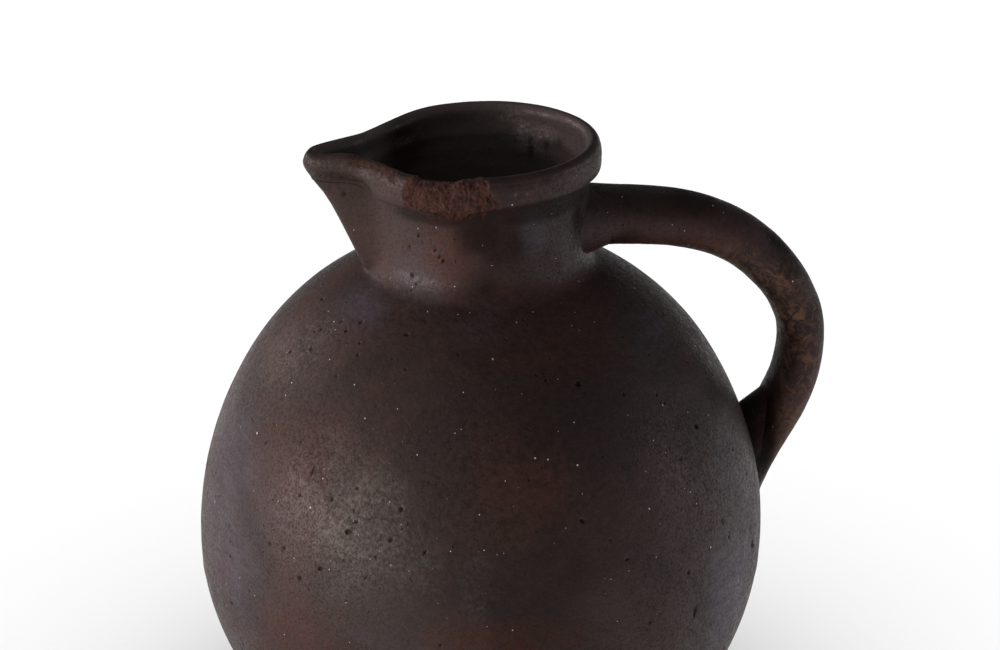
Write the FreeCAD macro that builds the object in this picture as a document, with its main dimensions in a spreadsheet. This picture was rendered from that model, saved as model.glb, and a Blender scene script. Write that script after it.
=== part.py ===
import FreeCAD, Part
import math
import os
import Sketcher
from FreeCAD import Placement, Rotation, Vector

# A hand-thrown, globe-bodied ceramic pitcher with a pinched pouring lip and a pulled
# strap handle.  Millimetres.  The origin is the centre of the flat base, +Z is up, the
# spout points along -X and the handle stands on the +X side.  Every node is one piece
# of clay as the potter makes it, and pieces meet face to face where they are luted.

DIMENSIONS = {
    # Globe: a bowl arc below the widest ring, a belly arc and a shoulder arc above it.
    "belly_radius": 140.0,
    "equator_height": 115.0,
    "bowl_arc": 126.0,
    "belly_arc": 171.6,
    "belly_turn_height": 210.7,
    "shoulder_arc": 122.7,
    "wall": 7.0,
    # Floor disc, a plug with a sloping edge seated in the bottom of the bowl.
    "floor_thickness": 9.0,
    "floor_radius": 46.0,
    "floor_bevel": 5.0,
    # Scarf joint between the bowl and the dome: height, and rise per unit of radius.
    "seam_height": 102.0,
    "seam_slope": 0.6,
    # How far the cutting zones reach past and inside the wall at the joints.
    "seam_reach_out": 10.0,
    "seam_reach_in": 30.0,
    "collar_reach_out": 10.0,
    # Neck collar, with a hollow curved root that lands on the shoulder.
    "collar_radius": 58.8,
    "neck_radius": 50.5,
    "neck_top": 307.0,
    "throat_bottom": 240.0,
    # Bore of neck, mouth and pouring channel, as teardrop outlines at four heights.
    "throat_radius": 44.5,
    "channel_start": 262.0,
    "channel_start_nose": 46.5,
    "channel_seat": 305.0,
    "channel_seat_radius": 46.0,
    "channel_seat_nose": 73.0,
    "mouth_radius": 50.0,
    "mouth_nose": 80.0,
    # Beak of the spout below the rim band.
    "beak_foot": 254.0,
    "beak_radius": 46.0,
    "beak_foot_nose": 57.5,
    "beak_top_nose": 77.0,
    # Thick rolled band round the mouth and the spout.
    "band_bottom": 297.0,
    "band_bulge": 301.0,
    "band_shoulder": 315.5,
    "band_crown": 318.6,
    "rim_top": 320.0,
    "band_foot_radius": 56.4,
    "band_radius": 57.4,
    "band_crown_radius": 56.5,
    "band_lip_radius": 54.6,
    "band_foot_nose": 78.5,
    "band_bulge_nose": 81.2,
    "band_shoulder_nose": 86.5,
    "band_crown_nose": 86.0,
    "band_lip_nose": 84.0,
    # Handle: an oval strap along a chain of tangent runs and arcs (sweeps in degrees).
    "handle_start": 44.0,
    "handle_height": 277.3,
    "handle_run": 26.0,
    "handle_top_arc": 100.0,
    "handle_top_sweep": 41.7,
    "handle_back_arc": 72.7,
    "handle_back_sweep": 37.6,
    "handle_low_arc": 60.6,
    "handle_low_sweep": 38.0,
    "handle_tail": 72.0,
    "handle_width": 31.0,
    "handle_thickness": 24.5,
    # Luting clay smoothed round the handle's root, from the neck outwards.
    "root_luting_start": 38.0,
    "root_luting_end": 68.0,
    "root_luting_width": 50.0,
    "root_luting_height": 38.0,
    "root_luting_end_width": 33.0,
    "root_luting_end_height": 26.5,
    # Luting clay smoothed round the handle's tail, from inside the belly upwards.
    "tail_luting_low_x": 125.1,
    "tail_luting_low_height": 115.2,
    "tail_luting_low_width": 46.0,
    "tail_luting_low_depth": 31.0,
    "tail_luting_high_x": 151.7,
    "tail_luting_high_height": 166.7,
    "tail_luting_high_width": 33.5,
    "tail_luting_high_depth": 27.0,
}

# Radii of the nose's tip and of the hollow flanks, for each mouth outline upwards.
THROAT_ROUNDING = ((20, 60), (20, 60), (9, 40), (8, 40))
BEAK_ROUNDING = ((13, 30), (12, 34))
BAND_ROUNDING = ((13, 34), (12.5, 34), (11, 36), (10.5, 37), (9, 38))

EQUATOR = "dims.equator_height"
SHOULDER_STEP = "(dims.belly_arc - dims.shoulder_arc)"
TURN_SINE = "((dims.belly_turn_height - dims.equator_height) / dims.belly_arc)"
SHOULDER_X = (f"dims.belly_radius - dims.belly_arc"
              f" + {SHOULDER_STEP} * sqrt(1 - {TURN_SINE} ^ 2)")
SHOULDER_Z = f"dims.equator_height + {SHOULDER_STEP} * {TURN_SINE}"
ZERO = "0"

START, END, CENTRE = 1, 2, 3
X_AXIS, Y_AXIS = -1, -2


def make_sheet(doc):
    """Put the driving dimensions in a spreadsheet, one aliased row each."""
    sheet = doc.addObject("Spreadsheet::Sheet", "dims")
    for row, (alias, value) in enumerate(DIMENSIONS.items(), start=1):
        sheet.set(f"A{row}", alias.replace("_", " "))
        sheet.set(f"B{row}", str(value))
        sheet.setAlias(f"B{row}", alias)
    doc.recompute()
    return sheet


def origin_plane(body, role):
    """Return the body's own origin plane with this role."""
    return next(item for item in body.Origin.OriginFeatures if item.Role == role)


def new_sketch(body, name, role, offset=Placement()):
    """Make a sketch flat on one of the body's origin planes."""
    sketch = body.newObject("Sketcher::SketchObject", name)
    sketch.AttachmentSupport = (origin_plane(body, role), "")
    sketch.MapMode = "FlatFace"
    sketch.AttachmentOffset = offset
    return sketch


def bind(sketch, kind, target, value, expression):
    """Add a dimensional constraint and tie its value to the sheet."""
    index = sketch.addConstraint(Sketcher.Constraint(kind, *target, value))
    name = f"{kind}_{index}"
    sketch.renameConstraint(index, name)
    sketch.setExpression(f"Constraints.{name}", expression)


def pin(sketch, edge, vertex, across=None, up=None):
    """Fix a point's distance across and up from the sketch origin."""
    point = sketch.getPoint(edge, vertex)
    for kind, axis, value, expression in (("DistanceX", Y_AXIS, point.x, across),
                                          ("DistanceY", X_AXIS, point.y, up)):
        if expression == ZERO:
            sketch.addConstraint(Sketcher.Constraint("PointOnObject", edge, vertex, axis))
        elif expression is not None:
            bind(sketch, kind, (X_AXIS, START, edge, vertex), value, expression)


def join(sketch, first, first_end, second, second_end, kind="Coincident"):
    """Join two edges at their ends, smoothly if kind is Tangent."""
    sketch.addConstraint(Sketcher.Constraint(kind, first, first_end, second, second_end))


def add_polygon(sketch, corners):
    """Draw a closed polygon whose corners are pairs of sheet expressions."""
    count = len(corners)
    turn = 2 * math.pi / count
    ring = [Vector(math.cos(turn * i), math.sin(turn * i), 0) * 100 for i in range(count)]
    for i in range(count):
        sketch.addGeometry(Part.LineSegment(ring[i], ring[(i + 1) % count]), False)
    for i in range(count):
        join(sketch, i, END, (i + 1) % count, START)
    for i, (across, up) in enumerate(corners):
        pin(sketch, i, START, across, up)


def arc_between(centre, radius, first, last):
    """Return a counter-clockwise arc between two angles in radians."""
    circle = Part.Circle(centre, Vector(0, 0, 1), radius)
    return Part.ArcOfCircle(circle, first, last)


def revolve(body, sketch):
    """Turn the profile a full circle about the sketch's upright axis."""
    feature = body.newObject("PartDesign::Revolution", f"{body.Name}_turned")
    feature.Profile = sketch
    feature.ReferenceAxis = (sketch, ["V_Axis"])
    feature.Angle = 360
    return feature


def turned_polygon(doc, name, corners):
    """Make a body by turning a polygon about the upright axis."""
    body = doc.addObject("PartDesign::Body", name)
    sketch = new_sketch(body, f"{name}_profile", "XZ_Plane")
    add_polygon(sketch, corners)
    revolve(body, sketch)
    return body


def globe_arcs(inset):
    """Return rough centres, radii and joints of the globe's three arcs, inset by a wall."""
    d = DIMENSIONS
    equator = d["equator_height"]
    bowl = Vector(d["belly_radius"] - d["bowl_arc"], equator, 0)
    belly = Vector(d["belly_radius"] - d["belly_arc"], equator, 0)
    turn = math.asin((d["belly_turn_height"] - equator) / d["belly_arc"])
    step = d["belly_arc"] - d["shoulder_arc"]
    shoulder = belly + Vector(math.cos(turn), math.sin(turn), 0) * step
    radii = [d["bowl_arc"] - inset, d["belly_arc"] - inset, d["shoulder_arc"] - inset]
    return (bowl, belly, shoulder), radii, turn


def add_globe(sketch, inset, low_angle, high_angle):
    """Draw the bowl, belly and shoulder arcs (edges 0, 1, 2), tangent to each other."""
    (bowl, belly, shoulder), radii, turn = globe_arcs(inset)
    sketch.addGeometry(arc_between(bowl, radii[0], low_angle, 0), False)
    sketch.addGeometry(arc_between(belly, radii[1], 0, turn), False)
    sketch.addGeometry(arc_between(shoulder, radii[2], turn, high_angle), False)
    shrink = "" if inset == 0 else " - dims.wall"
    join(sketch, 0, END, 1, START, "Tangent")
    join(sketch, 1, END, 2, START, "Tangent")
    for edge, name in enumerate(("bowl_arc", "belly_arc", "shoulder_arc")):
        bind(sketch, "Radius", (edge,), radii[edge], f"dims.{name}{shrink}")
    pin(sketch, 0, CENTRE, up=EQUATOR)
    pin(sketch, 1, CENTRE, "dims.belly_radius - dims.belly_arc", EQUATOR)
    pin(sketch, 2, CENTRE, up=SHOULDER_Z)


def make_vessel_form(doc):
    """Make the solid outer form of floor, globe and neck, used to seat the other pieces."""
    d = DIMENSIONS
    (bowl, _, shoulder), radii, _ = globe_arcs(0)
    body = doc.addObject("PartDesign::Body", "vessel_form")
    sketch = new_sketch(body, "vessel_outline", "XZ_Plane")
    low = -math.asin(bowl.y / radii[0])
    landing = math.acos((d["collar_radius"] - shoulder.x) / radii[2])
    root = (d["collar_radius"] - d["neck_radius"]) / (1 - math.cos(landing))
    add_globe(sketch, 0, low, landing)
    root_centre = shoulder + Vector(math.cos(landing), math.sin(landing), 0) * (radii[2] + root)
    top, neck, foot = d["neck_top"], d["neck_radius"], bowl.x + radii[0] * math.cos(low)
    sketch.addGeometry(arc_between(root_centre, root, math.pi, math.pi + landing), False)
    corners = [(neck, root_centre.y), (neck, top), (0, top), (0, 0), (foot, 0)]
    for (x0, z0), (x1, z1) in zip(corners, corners[1:]):
        sketch.addGeometry(Part.LineSegment(Vector(x0, z0, 0), Vector(x1, z1, 0)), False)
    join(sketch, 2, END, 3, END, "Tangent")
    join(sketch, 3, START, 4, START, "Tangent")
    for edge in (4, 5, 6):
        join(sketch, edge, END, edge + 1, START)
    join(sketch, 7, END, 0, START)
    pin(sketch, 3, END, across="dims.collar_radius")
    pin(sketch, 4, START, across="dims.neck_radius")
    pin(sketch, 4, END, "dims.neck_radius", "dims.neck_top")
    pin(sketch, 5, END, ZERO, "dims.neck_top")
    pin(sketch, 6, END, ZERO, ZERO)
    pin(sketch, 7, END, up=ZERO)
    revolve(body, sketch)
    return body


def make_cavity_form(doc):
    """Make the hollow of the globe as a solid, from the floor up into the throat."""
    d = DIMENSIONS
    (bowl, _, shoulder), radii, _ = globe_arcs(d["wall"])
    body = doc.addObject("PartDesign::Body", "cavity_form")
    sketch = new_sketch(body, "cavity_outline", "XZ_Plane")
    low = -math.asin((bowl.y - d["floor_thickness"]) / radii[0])
    inner = d["throat_radius"] - d["wall"]
    high = math.acos((inner - shoulder.x) / radii[2])
    add_globe(sketch, d["wall"], low, high)
    top = shoulder.y + radii[2] * math.sin(high)
    floor = d["floor_thickness"]
    corners = [(inner, top), (0, top), (0, floor), (bowl.x + radii[0] * math.cos(low), floor)]
    for (x0, z0), (x1, z1) in zip(corners, corners[1:]):
        sketch.addGeometry(Part.LineSegment(Vector(x0, z0, 0), Vector(x1, z1, 0)), False)
    for edge in (2, 3, 4):
        join(sketch, edge, END, edge + 1, START)
    join(sketch, 5, END, 0, START)
    pin(sketch, 3, START, across="dims.throat_radius - dims.wall")
    sketch.addConstraint(Sketcher.Constraint("Horizontal", 3))
    pin(sketch, 3, END, across=ZERO)
    pin(sketch, 4, END, ZERO, "dims.floor_thickness")
    pin(sketch, 5, END, up="dims.floor_thickness")
    revolve(body, sketch)
    return body


def add_teardrop(sketch, round_radius, nose, tip_radius, flank_radius):
    """Draw a mouth outline: a round, two hollow flanks and a rounded nose towards -X."""
    d = DIMENSIONS
    rough_round, rough_nose = d[round_radius], d[nose]
    tip_x = tip_radius - rough_nose
    to_round, to_tip = rough_round + flank_radius, tip_radius + flank_radius
    x = (to_round ** 2 - to_tip ** 2 + tip_x ** 2) / (2 * tip_x)
    y = math.sqrt(to_round ** 2 - x ** 2)
    round_turn = math.atan2(y, x)
    tip_turn = math.atan2(y, x - tip_x)
    flank, mirrored = Vector(x, y, 0), Vector(x, -y, 0)
    edges = [
        arc_between(Vector(0, 0, 0), rough_round, -round_turn, round_turn),
        arc_between(flank, flank_radius, round_turn - math.pi, tip_turn - math.pi),
        arc_between(Vector(tip_x, 0, 0), tip_radius, tip_turn, 2 * math.pi - tip_turn),
        arc_between(mirrored, flank_radius, math.pi - tip_turn, math.pi - round_turn),
    ]
    if tip_turn < round_turn:
        edges[1] = arc_between(flank, flank_radius, tip_turn - math.pi, round_turn - math.pi)
        edges[3] = arc_between(mirrored, flank_radius, math.pi - round_turn, math.pi - tip_turn)
    for edge in edges:
        sketch.addGeometry(edge, False)
    join(sketch, 0, END, 1, END, "Tangent")
    join(sketch, 1, START, 2, START, "Tangent")
    join(sketch, 2, END, 3, END, "Tangent")
    join(sketch, 3, START, 0, START, "Tangent")
    pin(sketch, 0, CENTRE, ZERO, ZERO)
    pin(sketch, 2, CENTRE, f"{tip_radius} - dims.{nose}", ZERO)
    bind(sketch, "Radius", (0,), rough_round, f"dims.{round_radius}")
    sketch.addConstraint(Sketcher.Constraint("Radius", 2, tip_radius))
    sketch.addConstraint(Sketcher.Constraint("Radius", 1, flank_radius))
    sketch.addConstraint(Sketcher.Constraint("Equal", 1, 3))


def loft_teardrops(doc, name, sections, roundings):
    """Make a body lofted through mouth outlines, each a height, a round and a nose."""
    body = doc.addObject("PartDesign::Body", name)
    sketches = []
    for index, (section, rounding) in enumerate(zip(sections, roundings)):
        height, round_radius, nose = section
        sketch = new_sketch(body, f"{name}_section_{index}", "XY_Plane")
        sketch.setExpression("AttachmentOffset.Base.z", f"dims.{height}")
        add_teardrop(sketch, round_radius, nose, *rounding)
        sketches.append(sketch)
    feature = body.newObject("PartDesign::AdditiveLoft", f"{name}_loft")
    feature.Profile = sketches[0]
    feature.Sections = sketches[1:]
    feature.Ruled = True
    return body


def add_oval(sketch, centre, width, height):
    """Draw an ellipse whose centre is given as expressions, and its sizes as aliases."""
    rough_width, rough_height = DIMENSIONS[width], DIMENSIONS[height]
    corner, top = Vector(rough_width / 2, 0, 0), Vector(0, rough_height / 2, 0)
    oval = Part.Ellipse(corner, top, Vector(0, 0, 0))
    sketch.addGeometry(oval, False)
    sketch.exposeInternalGeometry(0)
    sketch.addConstraint(Sketcher.Constraint("Horizontal", 1))
    bind(sketch, "Distance", (1,), rough_width, f"dims.{width}")
    bind(sketch, "Distance", (2,), rough_height, f"dims.{height}")
    pin(sketch, 0, CENTRE, *centre)


def add_handle_path(sketch):
    """Draw the handle's centre line: a level run, three arcs and a straight tail."""
    d = DIMENSIONS
    point, heading = Vector(d["handle_start"], d["handle_height"], 0), 0.0
    run_end = point + Vector(d["handle_run"], 0, 0)
    sketch.addGeometry(Part.LineSegment(point, run_end), False)
    point = run_end
    for name in ("top", "back", "low"):
        radius, sweep = d[f"handle_{name}_arc"], math.radians(d[f"handle_{name}_sweep"])
        centre = point + Vector(math.sin(heading), -math.cos(heading), 0) * radius
        first = heading + math.pi / 2
        sketch.addGeometry(arc_between(centre, radius, first - sweep, first), False)
        heading -= sweep
        point = centre + Vector(-math.sin(heading), math.cos(heading), 0) * radius
    tail_end = point + Vector(math.cos(heading), math.sin(heading), 0) * d["handle_tail"]
    sketch.addGeometry(Part.LineSegment(point, tail_end), False)
    join(sketch, 0, END, 1, END, "Tangent")
    join(sketch, 1, START, 2, END, "Tangent")
    join(sketch, 2, START, 3, END, "Tangent")
    join(sketch, 3, START, 4, START, "Tangent")
    pin(sketch, 0, START, "dims.handle_start", "dims.handle_height")
    sketch.addConstraint(Sketcher.Constraint("Horizontal", 0))
    bind(sketch, "Distance", (0,), d["handle_run"], "dims.handle_run")
    for edge, name in enumerate(("top", "back", "low"), start=1):
        sweep = math.radians(d[f"handle_{name}_sweep"])
        bind(sketch, "Radius", (edge,), d[f"handle_{name}_arc"], f"dims.handle_{name}_arc")
        bind(sketch, "Angle", (edge,), sweep, f"dims.handle_{name}_sweep * 1 deg")
    bind(sketch, "Distance", (4,), d["handle_tail"], "dims.handle_tail")


def make_handle_blank(doc):
    """Sweep the handle's oval section along its centre line."""
    body = doc.addObject("PartDesign::Body", "handle_blank")
    path = new_sketch(body, "handle_path", "XZ_Plane")
    add_handle_path(path)
    section = new_sketch(body, "handle_section", "YZ_Plane")
    section.setExpression("AttachmentOffset.Base.z", "dims.handle_start")
    add_oval(section, (ZERO, "dims.handle_height"), "handle_width", "handle_thickness")
    doc.recompute()
    pipe = body.newObject("PartDesign::AdditivePipe", "handle_pipe")
    pipe.Profile = section
    pipe.Spine = (path, [f"Edge{number}" for number in range(1, 6)])
    return body


def loft_ovals(doc, name, tilt, ovals):
    """Make a body lofted through two ovals that face along the handle.

    Each oval is its distance out along X, its height, its width and its depth; tilt is
    the angle by which their normals lean up from +X.
    """
    body = doc.addObject("PartDesign::Body", name)
    sketches = []
    for index, (out, height, width, depth) in enumerate(ovals):
        sketch = new_sketch(body, f"{name}_section_{index}", "YZ_Plane")
        sketch.AttachmentOffset = Placement(Vector(0, 0, 0), Rotation(Vector(1, 0, 0), -1))
        sketch.setExpression("AttachmentOffset.Rotation.Angle", f"-({tilt}) * 1 deg")
        sketch.setExpression("AttachmentOffset.Base.y", f"dims.{height}")
        sketch.setExpression("AttachmentOffset.Base.z", f"dims.{out}")
        add_oval(sketch, (ZERO, ZERO), width, depth)
        sketches.append(sketch)
    feature = body.newObject("PartDesign::AdditiveLoft", f"{name}_loft")
    feature.Profile = sketches[0]
    feature.Sections = sketches[1:]
    feature.Ruled = True
    return body


def combine(doc, kind, base, tool, label=None):
    """Cut one object by another, or keep what they share."""
    result = doc.addObject(f"Part::{kind}", label or f"{base.Name}_{kind.lower()}_{tool.Name}")
    result.Base = base
    result.Tool = tool
    return result


def make_bowl_zone(doc):
    """Make the space below the sloping seam just under the widest ring."""
    outer, inner = "dims.belly_radius + dims.seam_reach_out", "dims.belly_radius - dims.seam_reach_in"
    inner_height = "dims.seam_height - dims.seam_reach_in * dims.seam_slope"
    return turned_polygon(doc, "bowl_zone", [
        (ZERO, ZERO),
        (outer, ZERO),
        (outer, "dims.seam_height + dims.seam_reach_out * dims.seam_slope"),
        (inner, inner_height),
        (ZERO, inner_height),
    ])


def make_collar_zone(doc):
    """Make the space above the cone where the neck collar stands on the shoulder."""
    run = f"(dims.collar_radius - ({SHOULDER_X}))"
    slope = f"sqrt((dims.shoulder_arc / {run}) ^ 2 - 1)"
    edge = "dims.collar_radius + dims.collar_reach_out"
    return turned_polygon(doc, "collar_zone", [
        (SHOULDER_X, SHOULDER_Z),
        (edge, f"{SHOULDER_Z} + ({run} + dims.collar_reach_out) * {slope}"),
        (edge, "dims.rim_top"),
        (ZERO, "dims.rim_top"),
        (ZERO, SHOULDER_Z),
    ])


def make_floor_disc(doc):
    """Make the floor as a plug whose sloping edge seats in the bowl."""
    top_edge = "dims.floor_radius + dims.floor_bevel"
    return turned_polygon(doc, "floor_disc", [
        (ZERO, ZERO),
        ("dims.floor_radius", ZERO),
        (top_edge, "dims.floor_thickness"),
        (ZERO, "dims.floor_thickness"),
    ])


def make_throat_form(doc):
    """Make the bore of neck, mouth and pouring channel as a solid."""
    return loft_teardrops(doc, "throat_form", [
        ("throat_bottom", "throat_radius", "channel_start_nose"),
        ("channel_start", "throat_radius", "channel_start_nose"),
        ("channel_seat", "channel_seat_radius", "channel_seat_nose"),
        ("rim_top", "mouth_radius", "mouth_nose"),
    ], THROAT_ROUNDING)


def make_beak_blank(doc):
    """Make the solid outside of the spout, from the shoulder up to the rim band."""
    return loft_teardrops(doc, "beak_blank", [
        ("beak_foot", "beak_radius", "beak_foot_nose"),
        ("band_bottom", "beak_radius", "beak_top_nose"),
    ], BEAK_ROUNDING)


def make_band_blank(doc):
    """Make the solid outside of the rolled band, eased in three steps at its lip."""
    return loft_teardrops(doc, "band_blank", [
        ("band_bottom", "band_foot_radius", "band_foot_nose"),
        ("band_bulge", "band_radius", "band_bulge_nose"),
        ("band_shoulder", "band_radius", "band_shoulder_nose"),
        ("band_crown", "band_crown_radius", "band_crown_nose"),
        ("rim_top", "band_lip_radius", "band_lip_nose"),
    ], BAND_ROUNDING)


def make_lutings(doc):
    """Make the two clay collars that are smoothed over the handle's ends."""
    root = loft_ovals(doc, "root_luting_blank", ZERO, [
        ("root_luting_start", "handle_height", "root_luting_width", "root_luting_height"),
        ("root_luting_end", "handle_height",
         "root_luting_end_width", "root_luting_end_height"),
    ])
    sweeps = "dims.handle_top_sweep + dims.handle_back_sweep + dims.handle_low_sweep"
    tail = loft_ovals(doc, "tail_luting_blank", f"180 - ({sweeps})", [
        (f"tail_luting_{end}_x", f"tail_luting_{end}_height",
         f"tail_luting_{end}_width", f"tail_luting_{end}_depth")
        for end in ("low", "high")
    ])
    return root, tail


def build(doc):
    """Build every piece and return the finished sub-parts."""
    vessel = make_vessel_form(doc)
    cavity = make_cavity_form(doc)
    throat = make_throat_form(doc)
    bowl_zone = make_bowl_zone(doc)
    collar_zone = make_collar_zone(doc)
    wall = combine(doc, "Cut", vessel, cavity, "wall")

    floor_disc = make_floor_disc(doc)
    bowl_wall = combine(doc, "Common", wall, bowl_zone)
    lower_bowl = combine(doc, "Cut", bowl_wall, floor_disc, "lower_bowl")
    upper_wall = combine(doc, "Cut", wall, bowl_zone)
    shoulder_dome = combine(doc, "Cut", upper_wall, collar_zone, "shoulder_dome")
    neck_wall = combine(doc, "Common", wall, collar_zone)
    neck_collar = combine(doc, "Cut", neck_wall, throat, "neck_collar")

    beak = combine(doc, "Cut", make_beak_blank(doc), vessel)
    spout = combine(doc, "Cut", beak, throat, "spout")
    band = combine(doc, "Cut", make_band_blank(doc), vessel)
    rim_band = combine(doc, "Cut", band, throat, "rim_band")

    handle_blank = make_handle_blank(doc)
    handle = combine(doc, "Cut", handle_blank, vessel, "handle")
    lutings = []
    for blank, label in zip(make_lutings(doc), ("handle_root_luting", "handle_tail_luting")):
        seated = combine(doc, "Cut", blank, vessel)
        lutings.append(combine(doc, "Cut", seated, handle_blank, label))
    return [floor_disc, lower_bowl, shoulder_dome, neck_collar, spout, rim_band, handle, *lutings]


def check(doc, nodes):
    """Stop if any object failed, or a sub-part is not one valid solid."""
    for item in doc.Objects:
        if {"Invalid", "Error"} & set(item.State):
            raise RuntimeError(f"{item.Name} failed: {item.State}")
    for node in nodes:
        shape = node.Shape
        if shape.isNull() or not shape.isValid() or len(shape.Solids) != 1:
            raise RuntimeError(f"{node.Label} has {len(shape.Solids)} solids or a bad shape")
        box = shape.optimalBoundingBox()
        print(f"{node.Label:20s} {shape.Volume / 1000:8.1f} cm3  "
              f"x {box.XMin:7.1f} {box.XMax:7.1f}  y {box.YMin:7.1f} {box.YMax:7.1f}  "
              f"z {box.ZMin:7.1f} {box.ZMax:7.1f}")


def main():
    """Build the pitcher and write one STEP file for each sub-part."""
    doc = FreeCAD.newDocument("pitcher")
    make_sheet(doc)
    nodes = build(doc)
    doc.recompute()
    check(doc, nodes)
    os.makedirs("parts", exist_ok=True)
    for node in nodes:
        node.Shape.exportStep(f"parts/{node.Label}.step")


main()
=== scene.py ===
import itertools
import math
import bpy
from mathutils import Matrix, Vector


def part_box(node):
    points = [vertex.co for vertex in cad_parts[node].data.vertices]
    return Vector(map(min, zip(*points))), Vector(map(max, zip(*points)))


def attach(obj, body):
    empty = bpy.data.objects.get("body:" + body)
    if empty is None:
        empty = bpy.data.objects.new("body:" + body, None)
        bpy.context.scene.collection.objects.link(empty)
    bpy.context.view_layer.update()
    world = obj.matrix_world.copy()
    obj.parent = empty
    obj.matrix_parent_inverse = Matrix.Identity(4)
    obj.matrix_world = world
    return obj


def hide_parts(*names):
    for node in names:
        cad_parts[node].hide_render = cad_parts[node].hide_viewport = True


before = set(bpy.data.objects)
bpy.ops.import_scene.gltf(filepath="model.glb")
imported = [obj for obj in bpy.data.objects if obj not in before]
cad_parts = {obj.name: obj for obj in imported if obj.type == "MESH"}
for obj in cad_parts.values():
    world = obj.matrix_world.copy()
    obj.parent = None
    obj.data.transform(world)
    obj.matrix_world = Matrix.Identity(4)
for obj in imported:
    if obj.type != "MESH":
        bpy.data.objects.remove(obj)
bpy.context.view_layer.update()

from types import SimpleNamespace

import bpy
import numpy as np
from mathutils import Vector

# A hand-thrown, burnished dark pitcher.  Metres, in the frame of the CAD model: origin at
# the centre of the base, +Z up, pouring lip towards -X, handle towards +X.

MM = 0.001


def low(node):
    """Return a node's lowest corner."""
    return Vector(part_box(node)[0])


def high(node):
    """Return a node's highest corner."""
    return Vector(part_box(node)[1])


# ---------------------------------------------------------------- sizes taken from the frame
BELLY_R = high("shoulder_dome").y
SEAM_TOP_Z = high("lower_bowl").z
SEAM_LOW_Z = low("shoulder_dome").z
FLOOR_R = high("floor_disc").x
FLOOR_T = high("floor_disc").z
COLLAR_Z = high("shoulder_dome").z
COLLAR_IN_Z = low("neck_collar").z
RIM_Z = high("rim_band").z

# ---------------------------------------------------------------- shape of the vessel
EQUATOR_Z = 115 * MM
BOWL_ARC = 126 * MM
BELLY_ARC = 171.6 * MM
BELLY_TURN = 33.9
SHOULDER_ARC = 122.7 * MM
WALL = 7 * MM
NECK_R = 50.5 * MM
COLLAR_R = 58.8 * MM
FILLET_R = 13.97 * MM
FILLET_CENTRE = (64.5 * MM, 267.2 * MM)
HEEL_Z = 1.2 * MM
THROAT_R = 44.5 * MM
SEAM_RIDGE = 0.22 * MM

LIP_R = 3.45 * MM
CREST_Z = RIM_Z - 4.4 * MM
MOUTH_R = 53.4 * MM
NOSE_REACH = 27.9 * MM
NOSE_WIDTH = 0.152
NOSE_POWER = 2.21
NECK_TOP_Z = 297 * MM
NECK_TOP_R = NECK_R + 1.5 * MM
BAND_HEIGHT = 18.9 * MM
NOSE_LEAN = 5.0 * MM
SWAY = 0.6 * MM
LEAN = 0.8 * MM


# ---------------------------------------------------------------- smooth noise and small maths
def step(value, first, last):
    """Return a smooth 0..1 ramp between two values."""
    t = np.clip((value - first) / (last - first), 0, 1)
    return t * t * (3 - 2 * t)


def lattice_noise(points, seed):
    """Return smooth value noise in -1..1 at points given in cells."""
    cell = np.floor(points).astype(np.int64)
    part = points - cell
    part = part ** 3 * (part * (part * 6 - 15) + 10)
    total = np.zeros(len(points))
    for corner in itertools.product((0, 1), repeat=3):
        at = cell + np.array(corner)
        mixed = (at[:, 0] * 73856093) ^ (at[:, 1] * 19349663) ^ (at[:, 2] * 83492791) ^ (seed * 2971215073)
        mixed = (mixed ^ (mixed >> 13)) * 1274126177 & 0x7FFFFFFF
        mixed = (mixed ^ (mixed >> 15)) & 0xFFFF
        weight = np.prod(np.where(np.array(corner), part, 1 - part), axis=1)
        total += weight * (mixed / 32767.5 - 1)
    return total


def noise(points, size, seed, octaves=3):
    """Return layered noise whose largest features are about size metres across."""
    points = np.asarray(points, float)
    flat = points.reshape(-1, 3)
    total = np.zeros(len(flat))
    for level in range(octaves):
        total += lattice_noise(flat / size * 2 ** level + 17.3 * level, seed + level) / 2 ** level
    return (total / 1.5).reshape(points.shape[:-1])


def warp(points):
    """Return points moved by the slow unevenness that hand work leaves in the whole vessel."""
    points = np.asarray(points, float)
    rise = step(points[..., 2], 0, 40 * MM)[..., None]
    shift = np.stack([noise(points, 110 * MM, seed, 2) for seed in (3, 5)], -1)
    moved = points.copy()
    moved[..., :2] += SWAY * rise * shift
    moved[..., 0] -= LEAN * rise[..., 0] * step(points[..., 2], 170 * MM, 90 * MM)
    return moved


def unit(vectors):
    """Return vectors scaled to a length of one."""
    return vectors / np.maximum(np.linalg.norm(vectors, axis=-1, keepdims=True), 1e-12)


def turns(count):
    """Return evenly spaced angles of a full turn."""
    return np.arange(count) * 2 * math.pi / count


def ripple(distance, spacing, shift=0.0):
    """Return a -1..1 wave whose crests lie a spacing apart."""
    return np.sin(distance * 2 * math.pi / spacing + shift)


def arc_points(centre, radius, first, last, count):
    """Return points of an arc in the (radius, height) half-plane, angles in degrees."""
    angle = np.radians(np.linspace(first, last, count))
    return np.stack([centre[0] + radius * np.cos(angle), centre[1] + radius * np.sin(angle)], -1)


def lengths(points):
    """Return the running length along a polyline."""
    return np.concatenate([[0], np.cumsum(np.linalg.norm(np.diff(points, axis=0), axis=1))])


def resample(points, spacing):
    """Return points evenly spaced along a polyline."""
    along = lengths(points)
    at = np.linspace(0, along[-1], max(2, int(round(along[-1] / spacing)) + 1))
    return np.stack([np.interp(at, along, column) for column in points.T], -1)


def hermite(t, start, start_pull, end, end_pull):
    """Return points that leave start and reach end along their pulls as t goes from 0 to 1."""
    return ((2 * t**3 - 3 * t**2 + 1) * start + (t**3 - 2 * t**2 + t) * start_pull
            + (3 * t**2 - 2 * t**3) * end + (t**3 - t**2) * end_pull)


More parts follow.
